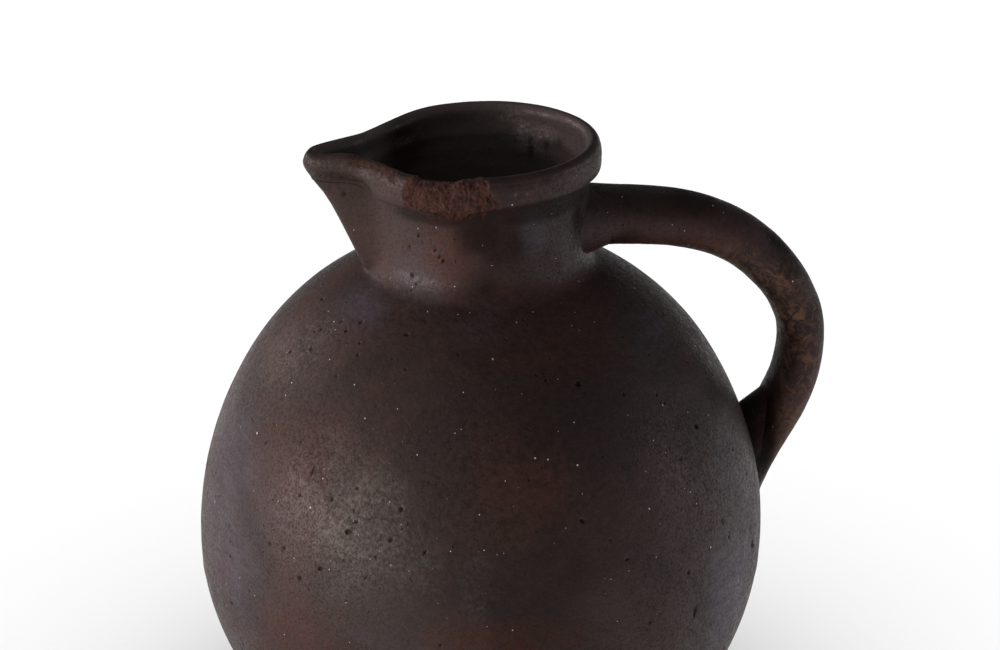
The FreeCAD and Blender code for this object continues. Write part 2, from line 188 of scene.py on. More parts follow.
def smooth_curve(knots, spacing):
    """Return a smooth curve through knots, evenly spaced along its length."""
    knots = np.array(knots, float)
    at = lengths(knots)
    slopes = np.gradient(knots, at, axis=0)
    fine = np.linspace(0, at[-1], 40 * len(knots))
    cell = np.clip(np.searchsorted(at, fine, side="right") - 1, 0, len(at) - 2)
    width = (at[cell + 1] - at[cell])[:, None]
    t = (fine - at[cell])[:, None] / width
    dense = hermite(t, knots[cell], width * slopes[cell], knots[cell + 1], width * slopes[cell + 1])
    return resample(dense, spacing)


# ---------------------------------------------------------------- meshes from numpy arrays
def vertex_normals(points, faces):
    """Return smooth normals of a mesh given as lists of corner indices."""
    normals = np.zeros_like(points)
    sizes = np.array([len(face) for face in faces])
    for size in np.unique(sizes):
        block = np.array([face for face in faces if len(face) == size])
        corners = points[block]
        centre = corners.mean(axis=1, keepdims=True)
        arms = corners - centre
        area = np.cross(arms, np.roll(arms, -1, axis=1)).sum(axis=1)
        for corner in range(size):
            np.add.at(normals, block[:, corner], area)
    return unit(normals)


def ring_faces(index, turn_over=False):
    """Return the faces between neighbouring rows of corner indices, each row closed on itself."""
    after = np.roll(index, -1, axis=1)
    corners = [index[:-1], index[1:], after[1:], after[:-1]]
    if turn_over:
        corners = [corners[0]] + corners[:0:-1]
    return np.stack(corners, -1).reshape(-1, 4).tolist()


def add_object(name, data):
    """Put an object with the given data into the scene."""
    made = bpy.data.objects.new(name, data)
    bpy.context.scene.collection.objects.link(made)
    return made


PIECES = {}


def make_piece(name, points, faces, normals, hard, marks):
    """Make a piece of the pitcher; hard faces are flat, the others shade with the given normals."""
    corners = np.concatenate([np.asarray(face) for face in faces])
    used = np.unique(corners)
    lookup = np.full(len(points), -1)
    lookup[used] = np.arange(len(used))
    mesh = bpy.data.meshes.new(name)
    mesh.from_pydata(points[used].tolist(), [], [lookup[np.asarray(face)].tolist() for face in faces])
    mesh.polygons.foreach_set("use_smooth", [not flat for flat in hard])
    flat = np.repeat(np.array(hard), [len(face) for face in faces])
    mesh.normals_split_custom_set(np.where(flat[:, None], 0.0, normals[corners]).tolist())
    for label, values in marks.items():
        layer = mesh.attributes.new(label, "FLOAT_COLOR", "POINT")
        layer.data.foreach_set("color", values[used].astype(np.float32).ravel())
    piece = add_object(name, mesh)
    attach(piece, "root")
    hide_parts(name)
    PIECES[name] = piece


# ---------------------------------------------------------------- globe: bowl and shoulder
SKIN_COLUMNS = 488
SKIN_CELL = 1.8 * MM
LINING_SHARE = 2
LINING_CELL = 4 * MM


def shoulder_centre():
    """Return the centre of the shoulder arc in the (radius, height) half-plane."""
    turn = math.radians(BELLY_TURN)
    gap = BELLY_ARC - SHOULDER_ARC
    return (BELLY_R - BELLY_ARC + gap * math.cos(turn), EQUATOR_Z + gap * math.sin(turn))


def globe_profile(inset, base_z, top_r):
    """Return the globe's wall line from a height on the bowl up to a radius on the shoulder."""
    centre = shoulder_centre()
    start = math.degrees(math.asin((base_z - EQUATOR_Z) / (BOWL_ARC - inset)))
    end = math.degrees(math.acos((top_r - centre[0]) / (SHOULDER_ARC - inset)))
    return np.concatenate([
        arc_points((BELLY_R - BOWL_ARC, EQUATOR_Z), BOWL_ARC - inset, start, 0, 160),
        arc_points((BELLY_R - BELLY_ARC, EQUATOR_Z), BELLY_ARC - inset, 0, BELLY_TURN, 160)[1:],
        arc_points(centre, SHOULDER_ARC - inset, BELLY_TURN, end, 160)[1:],
    ])


def cut_profile(profile, first_z, last_z):
    """Return the part of a rising wall line between two heights."""
    radius = np.interp([first_z, last_z], profile[:, 1], profile[:, 0])
    inside = profile[(profile[:, 1] > first_z) & (profile[:, 1] < last_z)]
    return np.concatenate([[[radius[0], first_z]], inside, [[radius[1], last_z]]])


def split_lattice(us, vs, marked, parts):
    """Return (u, v) points and faces of a lattice closed in v whose marked cells are split finer."""
    rows, columns = len(us), len(vs)
    step_v = vs[1] - vs[0]
    points = [(u, v) for u in us for v in vs]
    edges = {}

    def on_edge(kind, i, j, part):
        key = (kind, i, j % columns, part)
        if key not in edges:
            edges[key] = len(points)
            u = us[i] + (us[i + 1] - us[i]) * part / parts if kind == "rise" else us[i]
            v = vs[j % columns] + (step_v * part / parts if kind == "round" else 0)
            points.append((u, v))
        return edges[key]

    for i, j in zip(*np.nonzero(marked)):
        for part in range(1, parts):
            on_edge("round", i, j, part)
            on_edge("round", i + 1, j, part)
            on_edge("rise", i, j, part)
            on_edge("rise", i, j + 1, part)
    faces = []
    for i, j in itertools.product(range(rows - 1), range(columns)):
        after = (j + 1) % columns
        a, b = i * columns + j, i * columns + after
        c, d = b + columns, a + columns
        if not marked[i, j]:
            sides = [("round", i, j, 1), ("rise", i, after, 1),
                     ("round", i + 1, j, -1), ("rise", i, j, -1)]
            face = []
            for corner, (kind, row, column, way) in zip((a, b, c, d), sides):
                face.append(corner)
                found = [edges.get((kind, row, column, part)) for part in range(1, parts)]
                face += [index for index in found[::way] if index is not None]
            faces.append(face)
            continue
        grid = np.zeros((parts + 1, parts + 1), int)
        for p, q in itertools.product(range(parts + 1), repeat=2):
            if p in (0, parts) and q in (0, parts):
                grid[p, q] = (a, b, d, c)[2 * (p > 0) + (q > 0)]
            elif p in (0, parts):
                grid[p, q] = edges[("round", i + (p > 0), j, q)]
            elif q in (0, parts):
                grid[p, q] = edges[("rise", i, after if q else j, p)]
            else:
                grid[p, q] = len(points)
                points.append((us[i] + (us[i + 1] - us[i]) * p / parts, vs[j] + step_v * q / parts))
        for p, q in itertools.product(range(parts), repeat=2):
            faces.append([grid[p, q], grid[p, q + 1], grid[p + 1, q + 1], grid[p + 1, q]])
    return np.array(points), faces


def turned(profile, coordinates):
    """Return the points on a surface of revolution at (length along its profile, angle)."""
    along = lengths(profile)
    radius = np.interp(coordinates[:, 0], along, profile[:, 0])
    height = np.interp(coordinates[:, 0], along, profile[:, 1])
    return np.stack([radius * np.cos(coordinates[:, 1]), radius * np.sin(coordinates[:, 1]), height], -1)


def skin_relief(points):
    """Return the fine unevenness of the burnished outer skin, in metres along the normal."""
    soft = 0.16 * MM * noise(points, 26 * MM, 11, 3)
    stretched = points * np.array([1, 1, 5.0])
    strokes = 0.05 * MM * noise(stretched, 20 * MM, 31, 2)
    grain = 0.03 * MM * noise(points, 4 * MM, 41, 2)
    return soft + strokes + grain


# larger flaws in the globe's skin: x, y, z, radius, depth, width over length, turn from level in degrees
FLAWS = [
    (-101, -93, 143.4, 1.5, 0.6, 0.8, 20), (-107, -83, 154.4, 1.3, 0.5, 0.7, 60),
    (-113, -75, 153, 1.2, 0.5, 0.8, 0), (-98.4, -80.6, 180, 1.2, 0.5, 0.7, 80),
    (-79, -104, 171, 1.8, 0.8, 0.75, 15), (-92, -100, 151, 1.7, 0.7, 0.6, 30),
    (-84.7, -93, 183, 1.3, 0.5, 0.7, 100), (-46.5, -123, 167.6, 1.3, 0.5, 0.6, 50),
    (46, -126.5, 157, 1.5, 0.4, 0.5, 0), (83.3, -112.4, 118, 3.4, 0.6, 0.32, 75),
    (100, -91, 154, 2.2, 0.5, 0.35, 95), (-73.7, -98.3, 190, 1.1, 0.4, 0.8, 0),
    (-61, -115, 171, 1.5, 0.6, 0.7, 40), (-92.5, -80.2, 190.6, 4.6, 0.45, 0.13, 80),
    (-133, -14, 162, 1.4, 0.5, 0.6, 30), (-130, -51, 110, 1.5, 0.6, 0.7, 0),
    (119, -60, 162, 1.3, 0.4, 0.5, 90), (58, -127, 123, 1.2, 0.4, 0.6, 45),
    (-77, -4, 244.6, 1.6, 0.6, 0.5, 20), (-70, -97, 176, 1.2, 0.6, 0.7, 10),
    (-66, -111, 162, 1.3, 0.5, 0.6, 120), (-72, -113, 152, 1.0, 0.4, 0.8, 0),
    (90, 95, 150, 2.4, 0.6, 0.4, 60), (-60, 118, 128, 1.6, 0.6, 0.7, 0),
]


def scatter_pits(seed, count, profile, low_z, high_z):
    """Return scattered pits and the flaws in range: (u, angle, radius, depth, stretch, turn)."""
    rng = np.random.default_rng(seed)
    size = lengths(profile)[-1]
    flaws = []
    for x, y, z, reach, depth, stretch, turn in FLAWS:
        if low_z < z * MM < high_z:
            u = np.interp(z * MM, profile[:, 1], lengths(profile))
            flaws.append((u, math.atan2(y, x), reach * MM, depth * MM, stretch, math.radians(turn)))
    radius = rng.lognormal(math.log(0.75 * MM), 0.38, count)
    scattered = np.stack([
        rng.uniform(8 * MM, size - 8 * MM, count), rng.uniform(0, 2 * math.pi, count),
        radius, radius * rng.uniform(0.25, 0.6, count),
        rng.uniform(0.5, 1.0, count), rng.uniform(0, math.pi, count),
    ], -1)
    return np.concatenate([scattered, np.array(flaws, float).reshape(-1, 6)])


def pit_offsets(profile, coordinates, pit):
    """Return how far points lie from a pit's middle, in units of its radius."""
    along = lengths(profile)
    radius = np.interp(pit[0], along, profile[:, 0])
    dv = (coordinates[:, 1] - pit[1] + math.pi) % (2 * math.pi) - math.pi
    x, y = dv * radius, coordinates[:, 0] - pit[0]
    turn = pit[5]
    across = (x * math.cos(turn) + y * math.sin(turn)) / pit[2]
    beside = (y * math.cos(turn) - x * math.sin(turn)) / (pit[2] * pit[4])
    return np.hypot(across, beside)


def carve_pits(points, profile, coordinates, pits):
    """Return how deep the pits are and the painted shade in them at each point."""
    depth, dark = np.zeros(len(points)), np.zeros(len(points))
    for pit in pits:
        reach = pit_offsets(profile, coordinates, pit)
        near = reach < 2
        ragged = reach[near] + 0.25 * noise(points[near], 0.9 * MM, 61, 1)
        depth[near] += pit[3] * np.clip(1 - ragged ** 2, 0, 1) ** 0.6
        # the pits are painted darker towards their middles: painted shade in the recess
        dark[near] = np.maximum(dark[near], step(ragged, 1.1, 0.5))
    return depth, dark


def globe_skin(outer, count, pits):
    """Return points, faces, normals, pit shade and top row of an outer wall between two ghost rows."""
    along = lengths(outer)
    rows = int(round((along[-2] - along[1]) / SKIN_CELL))
    us = np.concatenate([[0], np.linspace(along[1], along[-2], rows + 1), [along[-1]]])
    vs = turns(count)
    marked = np.zeros((len(us) - 1, count), bool)
    middles = np.stack(np.meshgrid((us[:-1] + us[1:]) / 2, vs + math.pi / count, indexing="ij"), -1)
    for pit in pits:
        near = pit_offsets(outer, middles.reshape(-1, 2), pit).reshape(marked.shape)
        marked |= near < 1.25 + 1.1 * MM / pit[2]
    marked[:3] = False
    marked[-3:] = False
    coordinates, faces = split_lattice(us, vs, marked, 4)
    points = turned(outer, coordinates)
    direction = vertex_normals(points, faces)
    depth, dark = carve_pits(points, outer, coordinates, pits)
    move = (skin_relief(points) - depth) * step(points[:, 2], 0.5 * MM, 12 * MM)
    points = warp(points + direction * move[:, None])
    normals = vertex_normals(points, faces)
    last = (len(us) - 1) * count
    ghost = set(range(count)) | set(range(last, last + count))
    faces = [face for face in faces if not ghost.intersection(face)]
    return points, faces, normals, dark, len(us) - 2


def globe_lining(inner, count):
    """Return the inner wall as a grid of points, with faint rings left by throwing."""
    grid = np.stack(np.meshgrid(lengths(inner), turns(count), indexing="ij"), -1)
    inside = turned(inner, grid.reshape(-1, 2))
    rings = 0.12 * MM * ripple(inside[:, 2], 9 * MM, 1.5 * noise(inside, 60 * MM, 71, 1))
    return warp(inside + unit(inside * (-1, -1, 0)) * rings[:, None])


def globe_part(name, outer, inner, pits, below, above):
    """Build one closed half of the globe from its outer and inner wall lines.

    below and above are outer wall points just past each end, which only steady the normals.
    """
    count, inner_count = SKIN_COLUMNS, SKIN_COLUMNS // LINING_SHARE
    outer = np.concatenate([[below], outer, [above]])
    outside, faces, outside_normals, dark, top_row = globe_skin(outer, count, pits)
    inner = resample(inner, LINING_CELL)
    inside = globe_lining(inner, inner_count)
    start = len(outside)
    index = start + np.arange(len(inside)).reshape(len(inner), inner_count)
    after = np.roll(index, -1, axis=1)
    inner_faces = ring_faces(index)
    end_faces = []
    for outer_row, inner_row, way in ((1, 0, 1), (top_row, -1, -1)):
        for j in range(inner_count):
            columns = [(j * LINING_SHARE + k) % count for k in range(LINING_SHARE, -1, -1)]
            face = [outer_row * count + column for column in columns]
            end_faces.append((face + [index[inner_row, j], after[inner_row, j]])[::way])
    points = np.concatenate([outside, inside])
    normals = np.concatenate([outside_normals, vertex_normals(points, inner_faces)[start:]])
    hard = [False] * (len(faces) + len(inner_faces)) + [True] * len(end_faces)
    # the pit shade is painted shade, dark in the pits' hollows
    pit_shade = np.concatenate([dark, np.zeros(len(inside))])
    inner_side = np.arange(len(points)) >= start
    make_piece(name, points, faces + inner_faces + end_faces, normals, hard,
               surface_marks(points, pit_shade, inner_side))


def make_globe():
    """Build the bowl and the shoulder, which meet at the luted seam."""
    whole = globe_profile(0, HEEL_Z, COLLAR_R - 1.5 * MM)
    foot_r = whole[0, 0]
    whole[:, 0] += SEAM_RIDGE * np.exp(-((whole[:, 1] - SEAM_TOP_Z) / (2.2 * MM)) ** 2)
    lining = globe_profile(WALL, FLOOR_T, THROAT_R + 0.3 * MM)
    heel = [(FLOOR_R, 0), (foot_r - 14 * MM, 0), (foot_r - 6 * MM, 0), (foot_r - 3 * MM, 0.25 * MM)]
    bowl_outer = np.concatenate([heel, cut_profile(whole, HEEL_Z, SEAM_TOP_Z)])
    dome_outer = cut_profile(whole, SEAM_TOP_Z, COLLAR_Z)
    bowl_inner = np.concatenate([[[FLOOR_R, FLOOR_T]], cut_profile(lining, FLOOR_T, SEAM_LOW_Z)])
    dome_inner = cut_profile(lining, SEAM_LOW_Z, COLLAR_IN_Z)
    past_seam, before_seam = (
        (np.interp(z, whole[:, 1], whole[:, 0]), z) for z in (SEAM_TOP_Z + 1.5 * MM, SEAM_TOP_Z - 1.5 * MM))
    low_pits = scatter_pits(5, 150, bowl_outer, 0, SEAM_TOP_Z - 8 * MM)
    high_pits = scatter_pits(6, 190, dome_outer, SEAM_TOP_Z + 8 * MM, COLLAR_Z)
    globe_part("lower_bowl", bowl_outer, bowl_inner, low_pits, (FLOOR_R - 1.5 * MM, 0), past_seam)
    globe_part("shoulder_dome", dome_outer, dome_inner, high_pits, before_seam, fillet_points(9)[1])


def fillet_points(count):
    """Return the concave fillet from the collar seam up to the upright neck."""
    start = math.degrees(math.atan2(COLLAR_Z - FILLET_CENTRE[1], COLLAR_R - FILLET_CENTRE[0])) % 360
    return arc_points(FILLET_CENTRE, FILLET_R, start, 180, count)


# ---------------------------------------------------------------- neck, pouring lip and band
def pinch(angle, width, power=NOSE_POWER):
    """Return 1 at the pouring lip's tip and falling to 0 round the mouth."""
    return 1 / (1 + (2 * np.abs(np.sin(angle / 2)) / width) ** power)


def crest_radius(angle):
    """Return the mouth's radius along the lip's centre line, angle measured from the tip."""
    return MOUTH_R + NOSE_REACH * pinch(angle, NOSE_WIDTH)


def crest_height(angle):
    """Return the height of the lip's centre line round the mouth."""
    degrees = np.degrees(np.abs(angle))
    tilt = -1.9 * MM * np.cos(angle) * crest_radius(angle) / (60 * MM)
    dip = -1.56 * MM * np.exp(-((degrees - 44.5) / 19.2) ** 2)
    near_rise = 1.92 * np.exp(-((degrees - 8.8) / 4.1) ** 2)
    far_rise = 1.7 * np.exp(-((degrees - 8) / 13) ** 2) * step(degrees, 0, 3)
    rise = np.where(np.degrees(angle) > 0, near_rise, far_rise) * MM
    return CREST_Z + tilt * 0.7 + dip + rise


SPOUT_HALF_ANGLE = 21
SPOUT_FIRST_ROW = 3
LIP_ROWS = 14
CHIPPED_BELOW = 4
SECTION_CELL = 0.55 * MM
COLUMN_CELL = 0.85 * MM
# the band's lower edge: degrees from the tip, millimetres above the widest ring
BAND_FOOT = [
    (-180, 188), (-90, 187), (-20, 187), (-14, 189), (0, 189), (9, 188.8), (13, 187.6), (17, 186),
    (22, 184.9), (34, 184.8), (64, 185.6), (75, 186.2), (90, 188.5), (112, 189.8), (146, 189.5), (180, 188),
]


def band_foot(angle):
    """Return the height of the band's lower edge round the mouth."""
    table = np.array(BAND_FOOT)
    height = np.interp(np.degrees(angle), table[:, 0], table[:, 1])
    return EQUATOR_Z + height * MM


def mouth_columns():
    """Return column angles from the tip, closest where the lip turns tightly and at the broken edge."""
    fine = np.linspace(-math.pi, math.pi, 20001)
    x, y = -crest_radius(fine) * np.cos(fine), -crest_radius(fine) * np.sin(fine)
    run = np.hypot(np.gradient(x), np.gradient(y))
    degrees = np.degrees(fine)
    broken_edge = step(degrees, 26, 34) * step(degrees, 100, 92)
    density = 1 + 0.9 * step(np.abs(degrees), 40, 20) + 1.1 * broken_edge
    total = np.cumsum(run * density)
    count = int(round((total[-1] - total[0]) / COLUMN_CELL / 2)) * 2
    at = np.linspace(total[0], total[-1], count + 1)[:-1]
    return np.interp(at, total, fine)


# sections of the band and of the lip's inside: millimetres outwards and upwards from the crest line
BAND_SECTION = [(-1.0, -18.7), (1.2, -18.9), (2.6, -18.2), (3.45, -16.6), (3.95, -14), (4.1, -9),
                (4.05, -4), (3.6, -0.6), (2.75, 1.75), (1.4, 3.05), (0, 3.45)]
LIP_INSIDE = [(0, 3.45), (-1.4, 3.05), (-2.6, 2.0), (-3.3, 0.6), (-3.55, -1.2)]
# the spout's outer ridge: height and distance from the axis in millimetres
KEEL = [(230.0, 44.6), (290.0, 72.1), (297.0, 76.1), (304.0, 81.2), (312.0, 86.0)]
# the inner wall: height, radius and reach under the lip in millimetres, and the lip's width
THROAT = [(240, 44.5, 44.8, 0.32), (262, 44.5, 46.6, 0.30), (285, 45.6, 60.8, 0.19),
          (297, 47.0, 68.0, 0.165), (305, 48.2, 72.6, 0.155), (312, 49.3, 76.0, 0.152),
          (316.5, 49.9, 77.9, 0.152)]


def keel_radius(z):
    """Return how far the spout's outer ridge stands from the axis at a height."""
    heights, reaches = np.array(KEEL).T
    return np.interp(z / MM, heights, reaches) * MM


def lip_reach(round_r, z, angle, width):
    """Return the outer radius of the neck with the pouring lip blended on to it."""
    inner_r, soft = 46 * MM, 2.4 * MM
    beak = inner_r + (keel_radius(z) - inner_r) * pinch(angle, width)
    blend = round_r + beak + np.sqrt((round_r - beak) ** 2 + soft ** 2)
    plain = round_r + inner_r + np.sqrt((round_r - inner_r) ** 2 + soft ** 2)
    return round_r + 0.5 * (blend - plain)


def from_tip(reach, angle, z):
    """Return points at a distance from the axis, at an angle measured from the pouring lip's tip."""
    return np.stack([-reach * np.cos(angle), -reach * np.sin(angle), z], -1)


def tip_angle(ring):
    """Return the angle of each point of a ring from the pouring lip's tip."""
    return np.unwrap(np.arctan2(-ring[:, 1], -ring[:, 0]))


def crest_line(angle):
    """Return the plan of the lip's centre line and its outward directions."""
    plan = from_tip(crest_radius(angle), angle, angle)[:, :2]
    along = np.roll(plan, -1, axis=0) - np.roll(plan, 1, axis=0)
    outward = unit(np.stack([along[:, 1], -along[:, 0]], -1))
    outward *= np.sign((outward * plan).sum(axis=1))[:, None]
    return plan, outward


def lip_rows(angle, section):
    """Return rings that carry a section round the mouth, flush with the spout at the tip's foot."""
    plan, outward = crest_line(angle)
    radius, height = crest_radius(angle), crest_height(angle)
    stretch = (height - band_foot(angle)) / BAND_HEIGHT
    square = (outward * plan).sum(axis=1) / np.linalg.norm(plan, axis=1)
    front = step(np.abs(np.degrees(angle)), 24, 11)
    rings = []
    for offset, rise in section:
        lean = -NOSE_LEAN * pinch(angle, NOSE_WIDTH) * (max(-rise, 0) / BAND_HEIGHT) ** 1.8
        z = height + (rise * stretch if rise < 0 else rise)
        flush = (lip_reach(NECK_TOP_R, z, angle, 0.158) - radius) * square + 0.05 * MM
        merge = front * step(rise, -6 * MM, -18 * MM) * (offset > -0.5 * LIP_R)
        place = (offset + lean) * (1 - merge) + flush * merge
        rings.append(np.column_stack([plan + place[:, None] * outward, z]))
    return np.array(rings)


def neck_rows(angle, top_angle):
    """Return the rings of the neck's outer wall; the lowest only steadies the normals."""
    upright = [(NECK_R, 272 * MM), (NECK_R, 285 * MM), (NECK_R + 0.5 * MM, 291 * MM),
               (NECK_TOP_R, NECK_TOP_Z)]
    wall = np.concatenate([[(60.5 * MM, COLLAR_Z - 0.75 * MM)], resample(fillet_points(60), 1.0 * MM)[:-1],
                           resample(np.array(upright), 1.0 * MM)])
    rings = []
    for radius, z in wall:
        part = np.clip((z - COLLAR_Z) / (NECK_TOP_Z - COLLAR_Z), 0, 1)
        turn = angle + (top_angle - angle) * step(part, 0.0, 1.0)
        level = z + (band_foot(angle) - 0.6 * MM - NECK_TOP_Z) * part ** 2
        lip = lip_reach(radius, level, turn, 0.21 - 0.052 * part) - radius
        rings.append(from_tip(radius + lip * step(z, COLLAR_Z, COLLAR_Z + 5 * MM), turn, level))
    return np.array(rings)


def throat_rows(rim, low_count, high_count):
    """Return the rings of the inner wall, from under the collar up to a ring just inside the lip."""
    angle, rim_radius = tip_angle(rim), np.hypot(rim[:, 0], rim[:, 1])
    table = np.array(THROAT)
    heights = np.concatenate([
        [COLLAR_IN_Z - 1.5 * MM], np.linspace(COLLAR_IN_Z, 303 * MM, low_count - 1),
        np.linspace(303 * MM, CREST_Z - 3 * MM, high_count + 1)[1:],
    ])
    rings = []
    for z in heights:
        radius, nose, width = (np.interp(z / MM, table[:, 0], column) for column in table.T[1:])
        shape = (radius + (nose - radius) * pinch(angle, width)) * MM
        reach = shape + (rim_radius - shape) * step(z, CREST_Z - 12 * MM, CREST_Z - 2 * MM)
        level = z + (rim[:, 2] - (CREST_Z - 1.2 * MM)) * step(z, 290 * MM, CREST_Z)
        rings.append(from_tip(reach, angle, level))
    return np.array(rings)


def mouth_grids():
    """Return column angles, matching grids of outer and inner wall points, and the band's first row."""
    angle = mouth_columns()
    band, lip = (smooth_curve(np.array(table) * MM, SECTION_CELL) for table in (BAND_SECTION, LIP_INSIDE))
    band, lip = lip_rows(angle, band), lip_rows(angle, lip[1:])
    neck = neck_rows(angle, tip_angle(band[0]))
    throat = throat_rows(lip[-1], len(neck), len(band) - len(lip))
    outer = np.concatenate([neck, band])
    inner = np.concatenate([throat, lip[:0:-1], outer[-1:]])
    return angle, outer, inner, len(neck)


def grid_normals(points):
    """Return smooth normals of a (rows, columns, 3) grid closed along its columns."""
    down = np.gradient(points, axis=0)
    across = np.roll(points, -1, axis=1) - np.roll(points, 1, axis=1)
    return unit(np.cross(across, down))


def break_rim(angle, outer, first):
    """Chip the band's outer face and the lip; return the broken grid, how raw it is, and the notch."""
    plan, outward = crest_line(angle)
    run = lengths(plan)
    run -= np.interp(0, angle, run)
    # s runs round the crest from the tip and h up from the band's foot, both in millimetres
    s = np.broadcast_to(run / MM, outer.shape[:2])
    h = (outer[..., 2] - band_foot(angle)) / MM
    rough = noise(outer, 3.2 * MM, 81, 4)
    coarse = noise(outer, 9 * MM, 91, 2)
    left = 55 + 3.2 * coarse + 1.4 * rough + 0.05 * (h - 8) ** 2
    right = 100 + 2.0 * coarse + 1.4 * rough - 0.55 * np.maximum(h - 6, 0)
    foot = -1.0 + 1.2 * coarse + 0.8 * rough - 2.4 * step(s, 66, 76) * step(s, 99, 92)
    chip = step(s, left, left + 0.7) * step(s, right, right - 2.2) * step(h, foot, foot + 0.8)
    lower = 13.8 + 1.8 * np.sin(s / 5.2) + 1.2 * rough - 0.05 * (s - 24)
    flake = step(s, 21 + rough, 22 + rough) * step(s, 53 + 2 * coarse, 51 + 2 * coarse)
    flake = flake * step(h, lower, lower + 0.5)
    crumb = np.abs(noise(outer * (1, 1, 0.55), 2.2 * MM, 97, 2))
    crumb += 0.5 * np.abs(noise(outer, 1.2 * MM, 95, 1))
    bite = 0.35 + 0.65 * step(s, left, left + 7)
    depth = chip * bite * (0.8 + 0.4 * coarse + 0.5 * rough + 1.3 * crumb)
    depth += flake * (1 - chip) * (0.3 + 0.5 * crumb)
    notch = step(s, 60, 63.5) * step(s, 87.5, 80) + 0.35 * step(s, 84, 86) * step(s, 93, 89)
    drop = notch * (2.3 + 0.7 * coarse + 0.5 * rough) * step(h, 9, 17)
    band = (np.arange(len(outer)) >= first - CHIPPED_BELOW)[:, None]
    broken = outer.copy()
    broken[..., :2] -= (outward * MM) * (depth * band)[..., None]
    broken[..., 2] -= MM * drop * band
    return broken, np.maximum(chip, 0.6 * flake) * band, notch * band


def thick_piece(name, points, mask, normals, marks):
    """Build a closed piece from the marked cells of two matching wall grids, outer then inner."""
    rows, columns = mask.shape[0] + 1, mask.shape[1]
    index = np.arange(rows * columns).reshape(rows, columns)
    back = index + rows * columns
    back[-1] = index[-1]
    faces = []
    for i, j in zip(*np.nonzero(mask)):
        k = (j + 1) % columns
        faces.append([index[i, j], index[i, k], index[i + 1, k], index[i + 1, j]])
        faces.append([back[i, j], back[i + 1, j], back[i + 1, k], back[i, k]])
    smooth = len(faces)
    padded = np.zeros((rows + 1, columns), bool)
    padded[1:-1] = mask
    below = padded[1:-1] != padded[:-2]
    beside = mask != np.roll(mask, -1, axis=1)
    for open_edges, first, second in ((below, (0, 0), (0, 1)), (beside, (0, 1), (1, 1))):
        for i, j in zip(*np.nonzero(open_edges)):
            a, b = ((i + row, (j + column) % columns) for row, column in (first, second))
            face = [index[a], back[a], back[b], index[b]]
            faces.append(face if mask[i, j] else face[::-1])
    hard = [False] * smooth + [True] * (len(faces) - smooth)
    make_piece(name, points, faces, normals, hard, marks)


# small pits on the neck: x, y, z, radius, depth
NECK_PITS = [
    (-35.4, -35.9, 285.6, 0.9, 0.5), (-39.2, -31.8, 278.4, 0.8, 0.4), (-38.5, -33.1, 264.6, 1.3, 0.7),
    (-28.4, -41.7, 280, 1.1, 0.5), (-26.6, -42.9, 277, 1.0, 0.5), (-25.1, -43.8, 275, 1.2, 0.6),
    (-36.8, -36.1, 261.7, 0.8, 0.4), (-46.5, -19.5, 285.6, 0.8, 0.4), (-50, -10, 270, 0.9, 0.4),
    (-37, -34.5, 270, 0.8, 0.5), (-30, -40.5, 270, 0.7, 0.4), (-34, -37.3, 282.5, 0.7, 0.4),
    (-67, -9, 297.5, 1.9, 1.0), (-61, -13.5, 292, 0.9, 0.5), (-58, -16, 281, 0.8, 0.4),
    (20, -46, 268, 0.9, 0.4),
]


def neck_relief(angle, outer, first):
    """Return how far the outer wall stands out, and the painted shade in the pits and in the corner under
    the band.
    """
    relief, dark = skin_relief(outer), np.zeros(outer.shape[:2])
    ragged = 0.25 * noise(outer, 0.9 * MM, 61, 1)
    for x, y, z, reach, depth in NECK_PITS:
        gap = np.linalg.norm(outer / MM - (x, y, z), axis=-1) / reach + ragged
        relief = relief - depth * MM * step(gap, 1.2, 0.3)
        dark = np.maximum(dark, step(gap, 1.3, 0.6))
    # painted shade in the corner under the band, where the band shades the neck; kept clear of the pouring
    # lip
    under = step(outer[..., 2], 289 * MM, 295.5 * MM) * (np.arange(len(outer)) < first)[:, None]
    return relief, np.maximum(dark, 0.95 * under * step(np.abs(np.degrees(angle)), 16, 40))


def make_mouth():
    """Build the neck, the pouring lip under the band and the rolled band itself."""
    angle, outer, inner, first = mouth_grids()
    rows, columns = outer.shape[:2]
    outer_normals, inner_normals = grid_normals(outer), -grid_normals(inner)
    sign = 1 if (outer_normals[10] * (1, 1, 0) * outer[10]).sum() > 0 else -1
    relief, dark = neck_relief(angle, outer, first)
    outer = outer + sign * outer_normals * relief[..., None]
    outer, raw, notch = break_rim(angle, outer, first)
    near_lip = step(np.arange(rows), rows - LIP_ROWS, rows - 1)[:, None]
    inner = inner + (outer[-1] - inner[-1]) * near_lip[..., None]
    rings = 0.07 * MM * ripple(inner[..., 2], 8 * MM, 2.5 * noise(inner, 50 * MM, 73, 1))
    inside = step(inner[..., 2], CREST_Z - 4 * MM, CREST_Z - 14 * MM)
    lumps = inside * (rings + 0.25 * MM * noise(inner, 12 * MM, 75, 3))
    inner = inner + sign * inner_normals * lumps[..., None]
    outer, inner = warp(outer), warp(inner)
    inner[-1] = outer[-1]

    shading = sign * grid_normals(np.concatenate([outer, inner[-2::-1]]))
    normals = np.concatenate([shading[:rows], shading[rows - 1:][::-1]]).reshape(-1, 3)
    points = np.concatenate([outer, inner]).reshape(-1, 3)
    plain = np.zeros((rows, columns))
    # the dark values are painted shade of the pits and of the corner under the band
    dark, inner_side, raw = (
        np.concatenate(pair).ravel()
        for pair in ((dark, plain), (plain, plain + 1), (raw, near_lip * notch[-1])))
    marks = surface_marks(points, dark, inner_side, raw)
    cell_angle = np.degrees(angle + (np.roll(angle, -1) - angle) / 2)
    level = np.arange(rows - 1)[:, None]
    window = (np.abs(cell_angle) < SPOUT_HALF_ANGLE) & (level >= SPOUT_FIRST_ROW)
    band = np.broadcast_to(level >= first, window.shape)
    thick_piece("neck_collar", points, ~band & ~window & (level >= 1), normals, marks)
    thick_piece("spout", points, ~band & window, normals, marks)
    thick_piece("rim_band", points, band, normals, marks)


